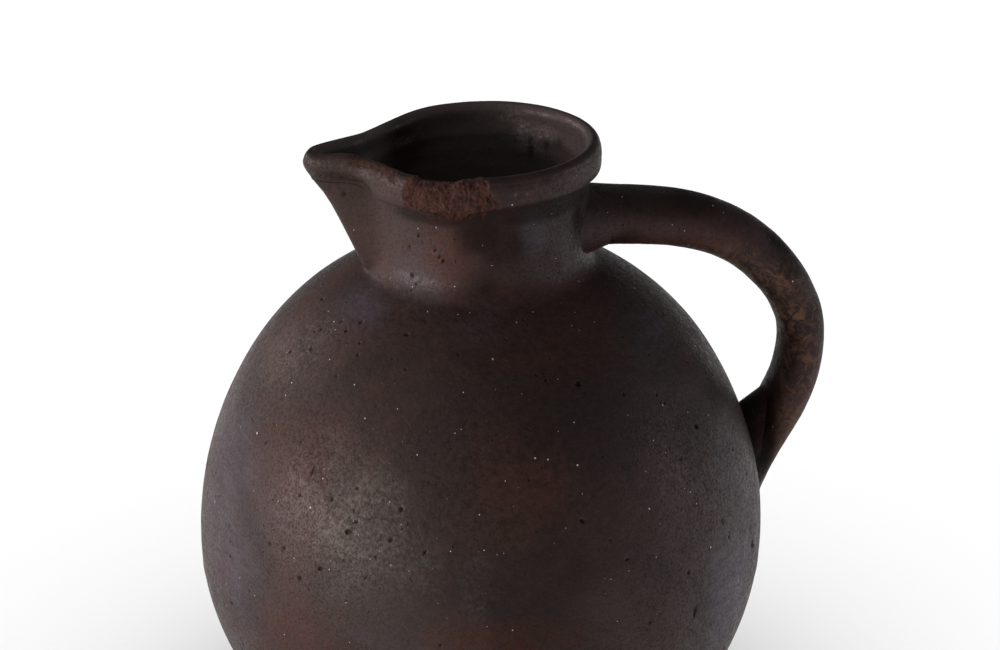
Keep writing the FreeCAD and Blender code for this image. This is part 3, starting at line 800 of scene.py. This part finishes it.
# ---------------------------------------------------------------- base, handle and lutings
def make_floor():
    """Build the floor disc, scored underneath where it was cut from the wheel."""
    rings, count = 24, 240
    radius = np.linspace(0, FLOOR_R, rings + 1)[1:]
    turn = turns(count)
    plan = np.stack([radius[:, None] * np.cos(turn), radius[:, None] * np.sin(turn)], -1)
    edge = step(radius, FLOOR_R, FLOOR_R - 4 * MM)[:, None]
    cut = plan[..., 1] + 0.25 * plan[..., 0] ** 2 / FLOOR_R
    lumps = 0.15 * MM * noise(np.pad(plan, ((0, 0), (0, 0), (0, 1))), 9 * MM, 101, 2)
    score = 0.22 * MM * (1 + ripple(cut, 3.4 * MM)) + lumps
    under = np.concatenate([plan, (np.abs(score) * edge)[..., None]], -1)
    swirl = 0.4 * MM * ripple(radius, 8 * MM)[:, None] * edge
    above = np.concatenate([plan, np.broadcast_to(FLOOR_T + swirl, plan.shape[:2])[..., None]], -1)
    middles = [(0, 0, 0.2 * MM), (0, 0, FLOOR_T)]
    points = warp(np.concatenate([under.reshape(-1, 3), above.reshape(-1, 3), middles]))
    top = rings * count
    low, high_up = np.arange(2 * top).reshape(2, rings, count)
    low_after, high_after = np.roll(low, -1, axis=1), np.roll(high_up, -1, axis=1)
    faces = [[2 * top, low_after[0, j], low[0, j]] for j in range(count)]
    faces += ring_faces(low, turn_over=True)
    faces += [[2 * top + 1, high_up[0, j], high_after[0, j]] for j in range(count)]
    faces += ring_faces(high_up)
    normals = vertex_normals(points, faces)
    hard = [False] * len(faces) + [True] * count
    faces += [[low[-1, j], low_after[-1, j], high_after[-1, j], high_up[-1, j]] for j in range(count)]
    inner_side = np.concatenate([np.zeros(top), np.ones(top), [0, 1]])
    make_piece("floor_disc", points, faces, normals, hard, surface_marks(points, inner_side=inner_side))


HANDLE_CELL = 0.9 * MM
HANDLE_COLUMNS = 128
LUTING_COLUMNS = 200
LUTING_ROWS = 40
# centre line of the handle: x, height above the widest ring, thickness, width
HANDLE_PATH = [
    (47, 162.6, 29, 34), (55, 162.2, 28.6, 33), (64, 161.6, 28, 32), (78, 160.4, 27.6, 31),
    (98, 157.3, 27.4, 31), (114.5, 152, 26.4, 31), (131.7, 142.2, 25.3, 31), (145.8, 128.3, 24.1, 31),
    (155.5, 114.2, 23.2, 31), (161.1, 99.9, 22.7, 31), (162, 85.5, 22.6, 31), (159.5, 70, 22.8, 31),
    (153.4, 54.6, 22.8, 31.5), (145, 39.5, 21.5, 31.5), (137, 24, 18, 29), (131, 12, 13, 25),
]


def handle_frames(spacing):
    """Return places, directions along and out of the handle, thicknesses and widths."""
    x, height, thick, wide = np.array(HANDLE_PATH).T
    knots = np.stack([x, 0 * x, height + EQUATOR_Z / MM], -1)
    curve = smooth_curve(knots, spacing / MM)
    at, run = lengths(knots), lengths(curve)
    run = run * at[-1] / run[-1]
    along = unit(np.gradient(curve, axis=0))
    out = np.stack([-along[:, 2], 0 * along[:, 1], along[:, 0]], -1)
    return curve * MM, along, out, np.interp(run, at, thick) * MM, np.interp(run, at, wide) * MM


def handle_ring(centre, out, thick, wide, psi):
    """Return points of the handle's section: round outside, flatter towards the hand gap."""
    c, s = np.cos(psi), np.sin(psi)
    depth = np.sign(c) * np.abs(c) ** np.where(c > 0, 0.95, 0.80)
    side = np.sign(s) * np.abs(s) ** 0.92
    across = np.array([0, 1.0, 0]) * (side * wide / 2)[..., None]
    return centre + out * (depth * thick / 2)[..., None] + across


def handle_lumps(points):
    """Return how far the handle's hand-pulled surface stands out at each point."""
    return 0.55 * MM * noise(points, 34 * MM, 111, 2) + 0.14 * MM * noise(points, 7 * MM, 113, 3)


def make_handle():
    """Build the strap handle with thumbed hollows and a wavering section."""
    count = HANDLE_COLUMNS
    centre, _, out, thick, wide = handle_frames(HANDLE_CELL)
    psi = turns(count)
    rings = np.stack([handle_ring(*row, psi) for row in zip(centre, out, thick, wide)])
    rings = rings + unit(rings - centre[:, None]) * handle_lumps(rings)[..., None]
    points = warp(np.concatenate([rings.reshape(-1, 3), centre[:1], centre[-1:]]))
    last = len(points) - 1
    index = np.arange(last - 1).reshape(-1, count)
    after = np.roll(index, -1, axis=1)
    faces = ring_faces(index)
    normals = vertex_normals(points, faces)
    hard = [False] * len(faces) + [True] * (2 * count)
    faces += [[last - 1, index[0, j], after[0, j]] for j in range(count)]
    faces += [[last, after[-1, j], index[-1, j]] for j in range(count)]
    make_piece("handle", points, faces, normals, hard, surface_marks(points))


def luting(name, rows):
    """Build smeared clay round one end of the handle from rings that close on themselves."""
    count = rows.shape[1]
    index = np.arange(rows.shape[0] * count).reshape(-1, count)
    faces = ring_faces(np.concatenate([index, index[:1]]), turn_over=True)
    points = warp(rows.reshape(-1, 3))
    normals = vertex_normals(points, faces)
    shown = index[1:-1].ravel()
    normals[shown] = vertex_normals(points, faces[count:-2 * count])[shown]
    if (normals * (points - points.mean(axis=0))).sum() < 0:
        faces = [face[::-1] for face in faces]
        normals = -normals
    make_piece(name, points, faces, normals, [False] * len(faces), surface_marks(points))


def neck_surface(points):
    """Return points moved level on to the outer wall of the neck or globe."""
    upright = [(NECK_R, 285 * MM), (NECK_TOP_R, NECK_TOP_Z)]
    line = np.concatenate([globe_profile(0, 2 * MM, COLLAR_R), fillet_points(40)[1:], upright])
    radius = np.interp(points[:, 2], line[:, 1], line[:, 0])
    moved = points.copy()
    moved[:, 0] = np.sqrt(np.maximum(radius ** 2 - points[:, 1] ** 2, 0))
    return moved


def corner_on_wall(points, direction):
    """Return where lines from points along their directions meet the outer wall."""
    place, reach = points.copy(), np.zeros(len(points))
    for _ in range(24):
        wall = neck_surface(place)
        reach += (wall[:, 0] - place[:, 0]) / direction[:, 0]
        place = points + reach[:, None] * direction
    return place


def collar_of_clay(name, station, inward, foot, hug):
    """Join stations on the handle to a footprint on the wall.

    The station function gives a place along the handle for each point of the ring, inward is the
    way into the wall along the handle, and hug is how tightly the clay follows the corner.
    """
    centre, along, out, thick, wide = handle_frames(HANDLE_CELL)
    psi = turns(len(foot))
    k = station(centre, psi)
    flow = -inward * along[k]
    ring = handle_ring(centre[k], out[k], thick[k] - 0.1 * MM, wide[k] - 0.1 * MM, psi)
    ring = ring + unit(ring - centre[k]) * handle_lumps(ring)[:, None]
    hidden = handle_ring(centre[k] - MM * flow, out[k], thick[k] - 5 * MM, wide[k] - 5 * MM, psi)
    foot = neck_surface(foot)
    corner = corner_on_wall(ring, -flow)
    climb = unit(neck_surface(foot + (corner - foot) * 0.15) - foot)
    leave = climb * (3 * hug * np.linalg.norm(corner - foot, axis=1))[:, None]
    arrive = flow * (3 * hug * np.linalg.norm(ring - corner, axis=1))[:, None]
    foot = foot - (0.25 * MM, 0, 0)
    t = np.linspace(0, 1, LUTING_ROWS)[:, None, None]
    rows = hermite(t, foot, leave, ring, arrive)
    lumps = 0.3 * MM * np.sin(math.pi * t[..., 0]) * noise(rows, 14 * MM, 121, 3)
    rows += lumps[..., None] * grid_normals(rows)
    luting(name, np.concatenate([[foot - (3 * MM, 0, 0)], rows, [hidden]]))


def root_station(centre, psi):
    """Return the index along the handle where the root's clay ends."""
    return np.full(len(psi), np.argmin(np.abs(centre[:, 0] - 70 * MM) + (centre[:, 2] < 250 * MM)))


def tail_station(centre, psi):
    """Return the index along the handle where the tail's clay ends, higher in the hand gap."""
    wanted = EQUATOR_Z + (40 + 24 * (0.5 - 0.5 * np.cos(psi)) ** 2) * MM
    return np.argmin(np.abs(centre[:, 2] - wanted[:, None]) + (centre[:, 0] < 120 * MM), axis=1)


def make_lutings():
    """Build the clay smeared from the handle onto the neck and onto the belly."""
    psi = turns(LUTING_COLUMNS)
    c, s = np.cos(psi), np.sin(psi)
    root_reach = np.where(c > 0, 15.8, 18.5) * MM
    root = np.stack([0 * psi, 28 * MM * s, 277 * MM + root_reach * c], -1)
    collar_of_clay("handle_root_luting", root_station, -1, root, 0.50 + 0.26 * c ** 2)
    tail_reach = np.where(c > 0, 36, 24.5) * MM
    tail = np.stack([0 * psi, 18 * MM * s, 142 * MM - tail_reach * c], -1)
    collar_of_clay("handle_tail_luting", tail_station, 1, tail, 0.57 + 0.23 * c)


# ---------------------------------------------------------------- surface marks and material
def spots(points, table, seed, ragged=0.45):
    """Return how strongly soft, ragged spots colour each point; rows are x, y, z, sizes and strength."""
    total = np.zeros(len(points))
    wander = ragged * noise(points, 26 * MM, seed, 4)
    for x, y, z, across, along, up, strength in table:
        offset = (points / MM - (x, y, z)) / (across, along, up)
        total = np.maximum(total, strength * step(np.linalg.norm(offset, axis=1) + wander, 1.3, 0.2))
    return total


# stains, wear and painted light and shade on the clay: x, y, z, half sizes along x, y and z in millimetres,
# and strength
RUST = [
    (90, -10, 264, 44, 14, 8, 0.9), (149, -12, 158, 14, 14, 26, 0.9), (160, -12, 178, 12, 14, 24, 0.7),
    (-3, -123, 192, 30, 26, 20, 0.45), (-12, -138, 124, 44, 26, 14, 1.1), (-22, -45, 278, 14, 16, 22, 0.8),
    (30, -70, 245, 40, 36, 16, 0.35), (-100, -60, 190, 30, 40, 30, 0.45), (20, -60, 258, 40, 30, 10, 0.5),
    (60, 100, 190, 40, 30, 30, 0.7), (-60, 110, 130, 40, 30, 30, 0.6), (-110, 60, 90, 30, 40, 30, 0.6),
    (40, -130, 80, 40, 30, 30, 0.5), (110, 40, 70, 30, 40, 30, 0.6),
]
GREEN = [
    (-47, -112, 196, 22, 24, 46, 0.9), (-62, -116, 150, 40, 34, 40, 0.8), (-20, -95, 226, 44, 30, 12, 0.4),
    (70, -60, 230, 26, 34, 30, 0.6), (30, -128, 165, 22, 20, 40, 0.35), (-30, 120, 200, 40, 30, 40, 0.7),
    (120, -10, 70, 30, 50, 40, 0.5), (-90, 90, 150, 30, 30, 50, 0.6),
]
# painted sheen and highlights: lilac-grey reflections on the globe's left and right edges and on its back,
# and highlights on the neck, at its foot and on the right shoulder
SHEEN_SPOTS = [
    (-130, -36, 158, 20, 46, 76, 0.9), (108, -90, 114, 24, 26, 34, 1.4), (116, -66, 160, 22, 30, 40, 0.5),
    (36, -36, 276, 12, 12, 20, 0.4), (16, -48, 288, 9, 9, 12, 0.8), (76, -50, 236, 22, 24, 16, 0.7),
    (-60, -30, 250, 14, 24, 16, 0.7), (-40, -40, 262, 26, 20, 12, 0.6), (90, 100, 140, 40, 40, 60, 0.5),
    (-80, 100, 200, 40, 40, 30, 0.6),
]
# wear and painted highlight: the broad pale patch on the front left of the belly is both rubbed wear and a
# painted highlight; also small pale spots on the lip
WEAR_AND_HIGHLIGHT_SPOTS = [
    (-78, -104, 176, 26, 26, 30, 1.0), (-66, -116, 160, 22, 22, 20, 0.7), (-24, -134, 150, 8, 8, 22, 0.35),
    (-36, -40, 262, 10, 10, 9, 0.3), (90, 96, 160, 26, 26, 30, 0.4), (6.5, -57.5, 311, 1.4, 1.4, 1.0, 1.4),
    (12, -56.5, 311, 1.2, 1.2, 1.0, 1.4), (53, -22, 313, 1.3, 1.3, 1.3, 1.6),
    (51, -26, 311, 1.0, 1.0, 1.5, 1.4),
]
# painted shade: dark spots in the creases where the handle meets the neck and the belly, along the handle's
# top and outer edge, on the neck under the band and on its side away from the lamps, a broad shadow across
# the belly's right and a patch low on the belly's front
SHADE_SPOTS = [
    (62, -20, 262, 16, 16, 16, 0.6), (133, -15, 150, 9, 12, 36, 1.0), (62, 22, 264, 18, 18, 18, 0.6),
    (2, -50, 284, 15, 9, 15, 0.6), (40, -33, 291, 16, 14, 12, 0.5), (110, -10, 283, 50, 18, 9, 0.6),
    (150, -8, 262, 16, 16, 14, 0.95), (171, -8, 225, 9, 16, 30, 0.6), (152, -12, 250, 13, 14, 12, 0.7),
    (84, -84, 197, 26, 26, 13, 0.4), (104, -52, 200, 18, 26, 13, 0.45), (-8, -50, 290, 13, 10, 12, 0.75),
    (42, -31, 286, 12, 10, 20, 1.0), (-6, -50, 264, 12, 10, 12, 0.5), (46, -26, 280, 10, 14, 16, 0.8),
    (4, -136, 134, 44, 26, 44, 0.5), (138, -14, 160, 11, 16, 30, 1.3), (134, -8, 166, 11, 20, 20, 1.2),
    (130, -44, 158, 8, 14, 24, 0.6),
]
TAN = [
    (122, -14, 255, 22, 14, 12, 0.6), (143, -15, 241, 18, 14, 18, 1.0), (154, -15, 219, 16, 14, 24, 1.2),
    (158, -14, 194, 16, 14, 24, 1.2), (155, -12, 172, 14, 14, 18, 0.7), (140, 14, 240, 22, 12, 24, 0.5),
]
# a painted reflection on the upper inner wall; the drips that dried inside the neck, the last row a broad
# painted shade on the inner wall
REFLECTION_SPOTS = [(28, 39.5, 307, 6, 6, 9, 1.2), (23, 42.5, 313, 8, 6, 4, 0.9), (33, 35.5, 303, 5, 6, 5, 0.7)]
DRIPS_AND_SHADE = [(31, 36, 300, 2.8, 2.8, 7, 0.65), (38, 30, 303, 2.6, 2.6, 5, 0.5), (43, 24, 306, 5, 5, 3.5, 0.4),
         # painted shade: a broad darkening of the far left of the inner wall
         (-32, 38, 304, 24, 20, 16, 0.7)]


def surface_marks(points, pits=0.0, inner_side=0.0, raw=0.0):
    """Return the colour layers that the clay reads at each point, painted light and shade among them."""
    pits, inner_side, raw = (np.zeros(len(points)) + value for value in (pits, inner_side, raw))
    outside = 1 - inner_side
    cloud = [noise(points, 60 * MM, seed, 4) for seed in (201, 211, 221)]
    rust = np.maximum(spots(points, RUST, 231), 0.55 * step(cloud[0], 0.1, 0.8)) * outside
    green = np.maximum(spots(points, GREEN, 241), 0.5 * step(cloud[1], 0.1, 0.8)) * outside
    # a random lilac tone, and lilac-grey painted sheen from the sheen spots
    lilac = np.maximum(spots(points, SHEEN_SPOTS, 251), 0.35 * step(cloud[2], 0.2, 0.9)) * outside
    # the pale layer: wear and painted highlight outside, painted reflection on the inner wall
    pale = spots(points, WEAR_AND_HIGHLIGHT_SPOTS, 261, 0.55) * outside + spots(points, REFLECTION_SPOTS, 263, 0.5) * inner_side
    # painted shade: the shade spots, the pits' hollows and the corner under the band; on the inner wall the
    # drips and a broad painted shade
    soot = np.maximum(spots(points, SHADE_SPOTS, 271) * outside, 0.75 * pits)
    soot = np.maximum(soot, spots(points, DRIPS_AND_SHADE, 273, 0.5) * inner_side)
    tan = spots(points, TAN, 287, 0.7) * outside
    return {
        "patch": np.stack([rust, green, lilac, pale], -1),
        "mark": np.stack([raw, soot, inner_side, tan], -1),
    }


def node(tree, kind, inputs=(), **settings):
    """Add a node; inputs maps socket names or numbers to values or to other nodes' sockets."""
    made = tree.nodes.new(kind)
    for key, value in settings.items():
        setattr(made, key, value)
    for key, value in dict(inputs).items():
        if isinstance(value, bpy.types.NodeSocket):
            tree.links.new(value, made.inputs[key])
        else:
            made.inputs[key].default_value = value
    return made


def math_node(tree, operation, *values, clamp=False):
    """Return the result socket of a math node."""
    made = node(tree, "ShaderNodeMath", enumerate(values), operation=operation, use_clamp=clamp)
    return made.outputs[0]


def times(tree, first, second, clamp=False):
    """Return the product of two values."""
    return math_node(tree, "MULTIPLY", first, second, clamp=clamp)


def plus(tree, first, second, clamp=False):
    """Return the sum of two values."""
    return math_node(tree, "ADD", first, second, clamp=clamp)


def minus(tree, first, second, clamp=False):
    """Return the difference of two values."""
    return math_node(tree, "SUBTRACT", first, second, clamp=clamp)


def vector_node(tree, operation, inputs):
    """Return the vector result of a vector math node."""
    return node(tree, "ShaderNodeVectorMath", inputs, operation=operation).outputs[0]


def ramp(tree, value, first, last, low_value=0.0, high_value=1.0):
    """Return value eased from one range to another."""
    inputs = {"Value": value, "From Min": first, "From Max": last, "To Min": low_value, "To Max": high_value}
    return node(tree, "ShaderNodeMapRange", inputs, interpolation_type="SMOOTHSTEP").outputs["Result"]


def paint(tree, colour, *layers):
    """Return a colour under layers of (amount, colour)."""
    for amount, coat in layers:
        colour = node(tree, "ShaderNodeMix", {0: amount, 6: colour, 7: coat}, data_type="RGBA").outputs[2]
    return colour


def texture(tree, place, scale, detail=3.0, rough=0.55, warp_by=0.0):
    """Return the value of a noise texture with features of about 1 / scale metres."""
    inputs = {"Vector": place, "Scale": scale, "Detail": detail, "Roughness": rough, "Distortion": warp_by}
    return node(tree, "ShaderNodeTexNoise", inputs).outputs["Fac"]


def dots(tree, place, scale, radius, share, ragged):
    """Return 1 inside small scattered dots, in a share of the cells of a Voronoi texture."""
    wander = node(tree, "ShaderNodeTexNoise", {"Vector": place, "Scale": scale * 3.0, "Detail": 2.0})
    offset = vector_node(tree, "MULTIPLY", {0: wander.outputs["Color"], 1: (ragged / scale,) * 3})
    moved = vector_node(tree, "ADD", {0: place, 1: offset})
    cells = node(tree, "ShaderNodeTexVoronoi", {"Vector": moved, "Scale": scale, "Randomness": 1.0})
    lot, width, _ = node(tree, "ShaderNodeSeparateColor", {0: cells.outputs["Color"]}).outputs
    chosen = ramp(tree, lot, 1 - share, 1 - share * 0.9)
    size = math_node(tree, "MULTIPLY_ADD", width, radius * 0.7, radius * 0.5)
    edge = ramp(tree, minus(tree, size, cells.outputs["Distance"]), 0.0, radius * 0.35)
    return times(tree, edge, chosen)


DEEP = (0.0150, 0.0082, 0.0070, 1)
BROWN = (0.0270, 0.0130, 0.0105, 1)
RUSTY = (0.0480, 0.0135, 0.0075, 1)
MOSSY = (0.0150, 0.0135, 0.0105, 1)
# lilac-grey of the random tone and of the painted sheen
SHEEN_LILAC = (0.0460, 0.0400, 0.0530, 1)
# pale grey of rubbed wear and of the painted highlight
WORN_GREY_AND_HIGHLIGHT = (0.1020, 0.1030, 0.0900, 1)
SPECK = (0.6500, 0.5900, 0.5200, 1)
# near-black of the small holes and of the painted shade
HOLE_AND_SHADE = (0.0036, 0.0024, 0.0020, 1)
CLAY = (0.0600, 0.0240, 0.0165, 1)
CLAY_DARK = (0.0200, 0.0095, 0.0075, 1)
TANNED = (0.1200, 0.0560, 0.0280, 1)
# light grey of the painted reflection inside
REFLECTION_GREY = (0.2700, 0.2350, 0.2350, 1)
# the inner wall's clay colour, lightened as painted light where the lamps leave the inside dark
INSIDE_WITH_PAINTED_LIGHT = (0.0760, 0.0600, 0.0570, 1)


def read_marks(tree):
    """Return the sockets of a piece's marks by name."""
    found = {}
    layers = {"patch": ("rust", "green", "lilac", "pale"), "mark": ("raw", "soot", "inner", "tan")}
    for layer, names in layers.items():
        values = node(tree, "ShaderNodeAttribute", attribute_name=layer).outputs
        parts = node(tree, "ShaderNodeSeparateColor", {0: values["Color"]}).outputs
        found.update(zip(names, [*parts, values["Alpha"]]))
    return SimpleNamespace(**found)


def clay_patterns(tree, place, mark):
    """Return the textures and worn areas that the clay's colour, polish and relief share."""
    broad = texture(tree, place, 22, 5, 0.6, 0.6)
    fine = texture(tree, place, 320, 4, 0.65)
    grit = texture(tree, place, 1500, 2, 0.6)
    mottled = times(tree, mark.rust, ramp(tree, fine, 0.30, 0.62, 0.55, 1.0))
    crackle = ramp(tree, texture(tree, place, 170, 6, 0.72, 1.2), 0.44, 0.60)
    tanned = times(tree, mark.tan, crackle)
    holes = dots(tree, place, 210, 0.17, 0.10, 0.30)
    return SimpleNamespace(broad=broad, fine=fine, grit=grit, mottled=mottled, tanned=tanned, holes=holes)


def pale_specks(tree, place, mark):
    """Return where grains of pale grit show in the outer face, crowded in the worn patch with its painted
    highlight.
    """
    specks = math_node(tree, "MAXIMUM", dots(tree, place, 150, 0.070, 0.28, 0.15),
                       dots(tree, place, 340, 0.10, 0.12, 0.15))
    # grit specks crowded in the worn patch and its painted highlight
    crowded = times(tree, dots(tree, place, 480, 0.15, 0.16, 0.2), mark.pale)
    specks = math_node(tree, "MAXIMUM", specks, crowded)
    return times(tree, specks, minus(tree, 1.0, mark.inner, clamp=True))


def clay_colour(tree, place, mark, clay):
    """Return the colour of the burnished skin, its stains, its painted shade, highlights, sheen and
    reflection, and the raw clay of the chips.
    """
    brushed = vector_node(tree, "MULTIPLY", {0: place, 1: (1.0, 1.0, 6.0)})
    streak = texture(tree, brushed, 60, 4, 0.6, 0.4)
    rubbed = ramp(tree, texture(tree, place, 420, 5, 0.75), 0.40, 0.70)
    # rubbed wear and painted highlight outside, painted reflection inside
    worn = times(tree, mark.pale, times(tree, rubbed, 0.75))
    colour = paint(
        tree, DEEP,
        (ramp(tree, clay.broad, 0.36, 0.64), BROWN),
        (clay.mottled, RUSTY),
        (times(tree, mark.green, 0.85), MOSSY),
        # lilac tone and painted sheen, streaked
        (times(tree, mark.lilac, ramp(tree, streak, 0.35, 0.65, 0.35, 0.9)), SHEEN_LILAC),
        (worn, WORN_GREY_AND_HIGHLIGHT),
        (times(tree, clay.tanned, 0.85), TANNED))
    shade = times(tree, ramp(tree, clay.fine, 0.25, 0.75, 0.72, 1.28),
                  ramp(tree, clay.grit, 0.25, 0.75, 0.82, 1.18))
    dry = minus(tree, 0.8, mark.soot, clamp=True)
    # painted reflection on the inner wall
    inner_reflection = times(tree, worn, times(tree, mark.inner, 1.3, clamp=True), clamp=True)
    broken = paint(tree, CLAY_DARK, (ramp(tree, texture(tree, place, 260, 5, 0.7), 0.35, 0.62), CLAY))
    return paint(
        tree, vector_node(tree, "SCALE", {0: colour, "Scale": shade}),
        # painted shade, and the dark drips inside
        (times(tree, mark.soot, 0.75), HOLE_AND_SHADE),
        # inner wall colour, partly painted light
        (times(tree, mark.inner, dry), INSIDE_WITH_PAINTED_LIGHT),
        (inner_reflection, REFLECTION_GREY),
        (times(tree, clay.holes, 0.8), HOLE_AND_SHADE),
        (times(tree, pale_specks(tree, place, mark), 0.85), SPECK),
        (mark.raw, broken))


def clay_roughness(tree, place, mark, clay, matt):
    """Return the roughness: burnished outside, smoother inside, dull on raw clay."""
    rough = ramp(tree, clay.broad, 0.3, 0.7, 0.50 + matt, 0.40 + matt)
    rough = plus(tree, rough, ramp(tree, clay.fine, 0.3, 0.7, -0.06, 0.12))
    rough = plus(tree, rough, ramp(tree, texture(tree, place, 800, 4, 0.7), 0.45, 0.62, 0.0, 0.28))
    rough = plus(tree, rough, times(tree, clay.mottled, 0.10))
    rough = minus(tree, rough, times(tree, mark.inner, 0.14))
    return plus(tree, rough, times(tree, mark.raw, 0.5), clamp=True)


def clay_relief(tree, place, mark, clay):
    """Return the bumped normal of the grain, the small holes, the worn handle and the chips."""
    height = times(tree, texture(tree, place, 130, 4, 0.6), 0.00035)
    height = plus(tree, height, times(tree, clay.fine, 0.00022))
    height = plus(tree, height, times(tree, clay.grit, 0.00007))
    height = minus(tree, height, times(tree, clay.holes, 0.0004))
    height = plus(tree, height, times(tree, clay.tanned, 0.0002))
    coarse = times(tree, texture(tree, place, 620, 4, 0.7), 0.0012)
    height = plus(tree, height, times(tree, coarse, mark.raw))
    bump = node(tree, "ShaderNodeBump", {"Height": height, "Strength": 1.0, "Distance": 1.0})
    return bump.outputs["Normal"]


def clay_material(name, shift, matt):
    """Build burnished, smoke-darkened clay with painted shade, highlights and sheen; shift moves the pattern
    and matt dulls the polish.
    """
    material = bpy.data.materials.new(name)
    material.use_nodes = True
    tree = material.node_tree
    coordinates = node(tree, "ShaderNodeTexCoord").outputs["Object"]
    place = vector_node(tree, "ADD", {0: coordinates, 1: (shift, 0, 0)})
    mark = read_marks(tree)
    clay = clay_patterns(tree, place, mark)
    sockets = {
        "Base Color": clay_colour(tree, place, mark, clay),
        "Roughness": clay_roughness(tree, place, mark, clay, matt),
        "Specular IOR Level": ramp(tree, mark.soot, 0.0, 1.0, 0.32, 0.08),
        "Normal": clay_relief(tree, place, mark, clay),
    }
    shader = tree.nodes["Principled BSDF"]
    for socket, value in sockets.items():
        tree.links.new(value, shader.inputs[socket])
    shader.inputs["Specular Tint"].default_value = (1.0, 0.80, 0.78, 1)
    return material


def make_materials():
    """Give every piece its own clay; the floor disc was never burnished."""
    for name, piece in PIECES.items():
        shift, matt = (0.3, 0.1) if name == "floor_disc" else (0.0, 0.0)
        piece.data.materials.append(clay_material("clay_" + name, shift, matt))


# ---------------------------------------------------------------- floor, light and camera
CAMERA_TURN = -10.0
CAMERA_RISE = 23.4
CAMERA_DISTANCE = 1.4
CAMERA_TARGET = Vector((9.06, -1.6, 222.4)) * MM
WARM = (1.0, 0.93, 0.91)
COOL = (0.88, 0.88, 1.0)
# the lamps: name, turn from the camera and rise in degrees, power, size, colour
LAMPS = [("key", -75, 8, 15.4, 0.7, WARM), ("key_front", -50, 4, 8.5, 0.5, WARM),
         ("rim", -120, 20, 5.8, 0.7, WARM), ("top", -60, 60, 1.6, 0.7, WARM),
         ("fill", 90, 10, 3.0, 0.7, COOL)]
LAMP_DISTANCE = 1.6
LAMP_TARGET = Vector((0, 0, 0.17))


def direction(turn, rise):
    """Return the direction at a turn from -Y round the pitcher and a rise, both in degrees."""
    turn, rise = math.radians(turn), math.radians(rise)
    return Vector((math.sin(turn) * math.cos(rise), -math.cos(turn) * math.cos(rise), math.sin(rise)))


def make_studio_floor():
    """Lay the pale floor."""
    corners = [(-6, -6, 0), (6, -6, 0), (6, 6, 0), (-6, 6, 0)]
    mesh = bpy.data.meshes.new("studio_floor")
    mesh.from_pydata(corners, [], [(0, 1, 2, 3)])
    floor = add_object("studio_floor", mesh)
    floor.location.z = -0.2 * MM
    material = bpy.data.materials.new("studio_floor")
    material.use_nodes = True
    shader = material.node_tree.nodes["Principled BSDF"]
    shader.inputs["Base Color"].default_value = (0.86, 0.86, 0.86, 1)
    shader.inputs["Roughness"].default_value = 0.9
    mesh.materials.append(material)
    return floor


def light_set(name, floor, link_state):
    """Return a collection that lights only the floor, or all but the floor."""
    made = bpy.data.collections.new(name)
    made.objects.link(floor)
    made.collection_objects[0].light_linking.link_state = link_state
    return made


def make_stage():
    """Lay the floor and light it evenly; the soft lamps light only the pitcher."""
    floor = make_studio_floor()
    light_world(0.16, 1.0)
    off_floor = light_set("off_floor", floor, "EXCLUDE")
    for name, turn, rise, power, size, colour in LAMPS:
        light = bpy.data.lights.new(name, "AREA")
        light.shape = "DISK"
        light.size = size
        light.energy = power
        light.color = colour
        lamp = add_object(name, light)
        towards = direction(CAMERA_TURN + turn, rise)
        lamp.location = LAMP_TARGET + towards * LAMP_DISTANCE
        lamp.rotation_euler = towards.to_track_quat("Z", "Y").to_euler()
        lamp.light_linking.receiver_collection = off_floor
    wash = bpy.data.lights.new("floor_wash", "SUN")
    wash.energy = 3.3
    wash.angle = math.radians(120)
    sun = add_object("floor_wash", wash)
    sun.location.z = 2
    sun.light_linking.receiver_collection = light_set("floor_only", floor, "INCLUDE")
    bpy.context.scene.view_settings.view_transform = "Standard"


def light_world(strength, backdrop):
    """Surround the set with soft light; the backdrop value is the brightness seen behind it."""
    world = bpy.data.worlds.new("studio")
    world.use_nodes = True
    tree = world.node_tree
    background = tree.nodes["Background"]
    background.inputs["Color"].default_value = (0.97, 0.97, 1.0, 1)
    seen = node(tree, "ShaderNodeLightPath").outputs["Is Camera Ray"]
    level = node(tree, "ShaderNodeMapRange", {"Value": seen, "To Min": strength, "To Max": backdrop})
    tree.links.new(level.outputs["Result"], background.inputs["Strength"])
    bpy.context.scene.world = world


def make_camera():
    """Place the camera at the picture's viewing angle."""
    lens = bpy.data.cameras.new("camera")
    lens.lens = 103.3
    lens.sensor_width = 36
    lens.clip_end = 50
    camera = add_object("camera", lens)
    back = direction(CAMERA_TURN, CAMERA_RISE)
    camera.location = CAMERA_TARGET + CAMERA_DISTANCE * back
    camera.rotation_euler = back.to_track_quat("Z", "Y").to_euler()
    bpy.context.scene.camera = camera


make_globe()
make_mouth()
make_floor()
make_handle()
make_lutings()
make_materials()
make_stage()
make_camera()
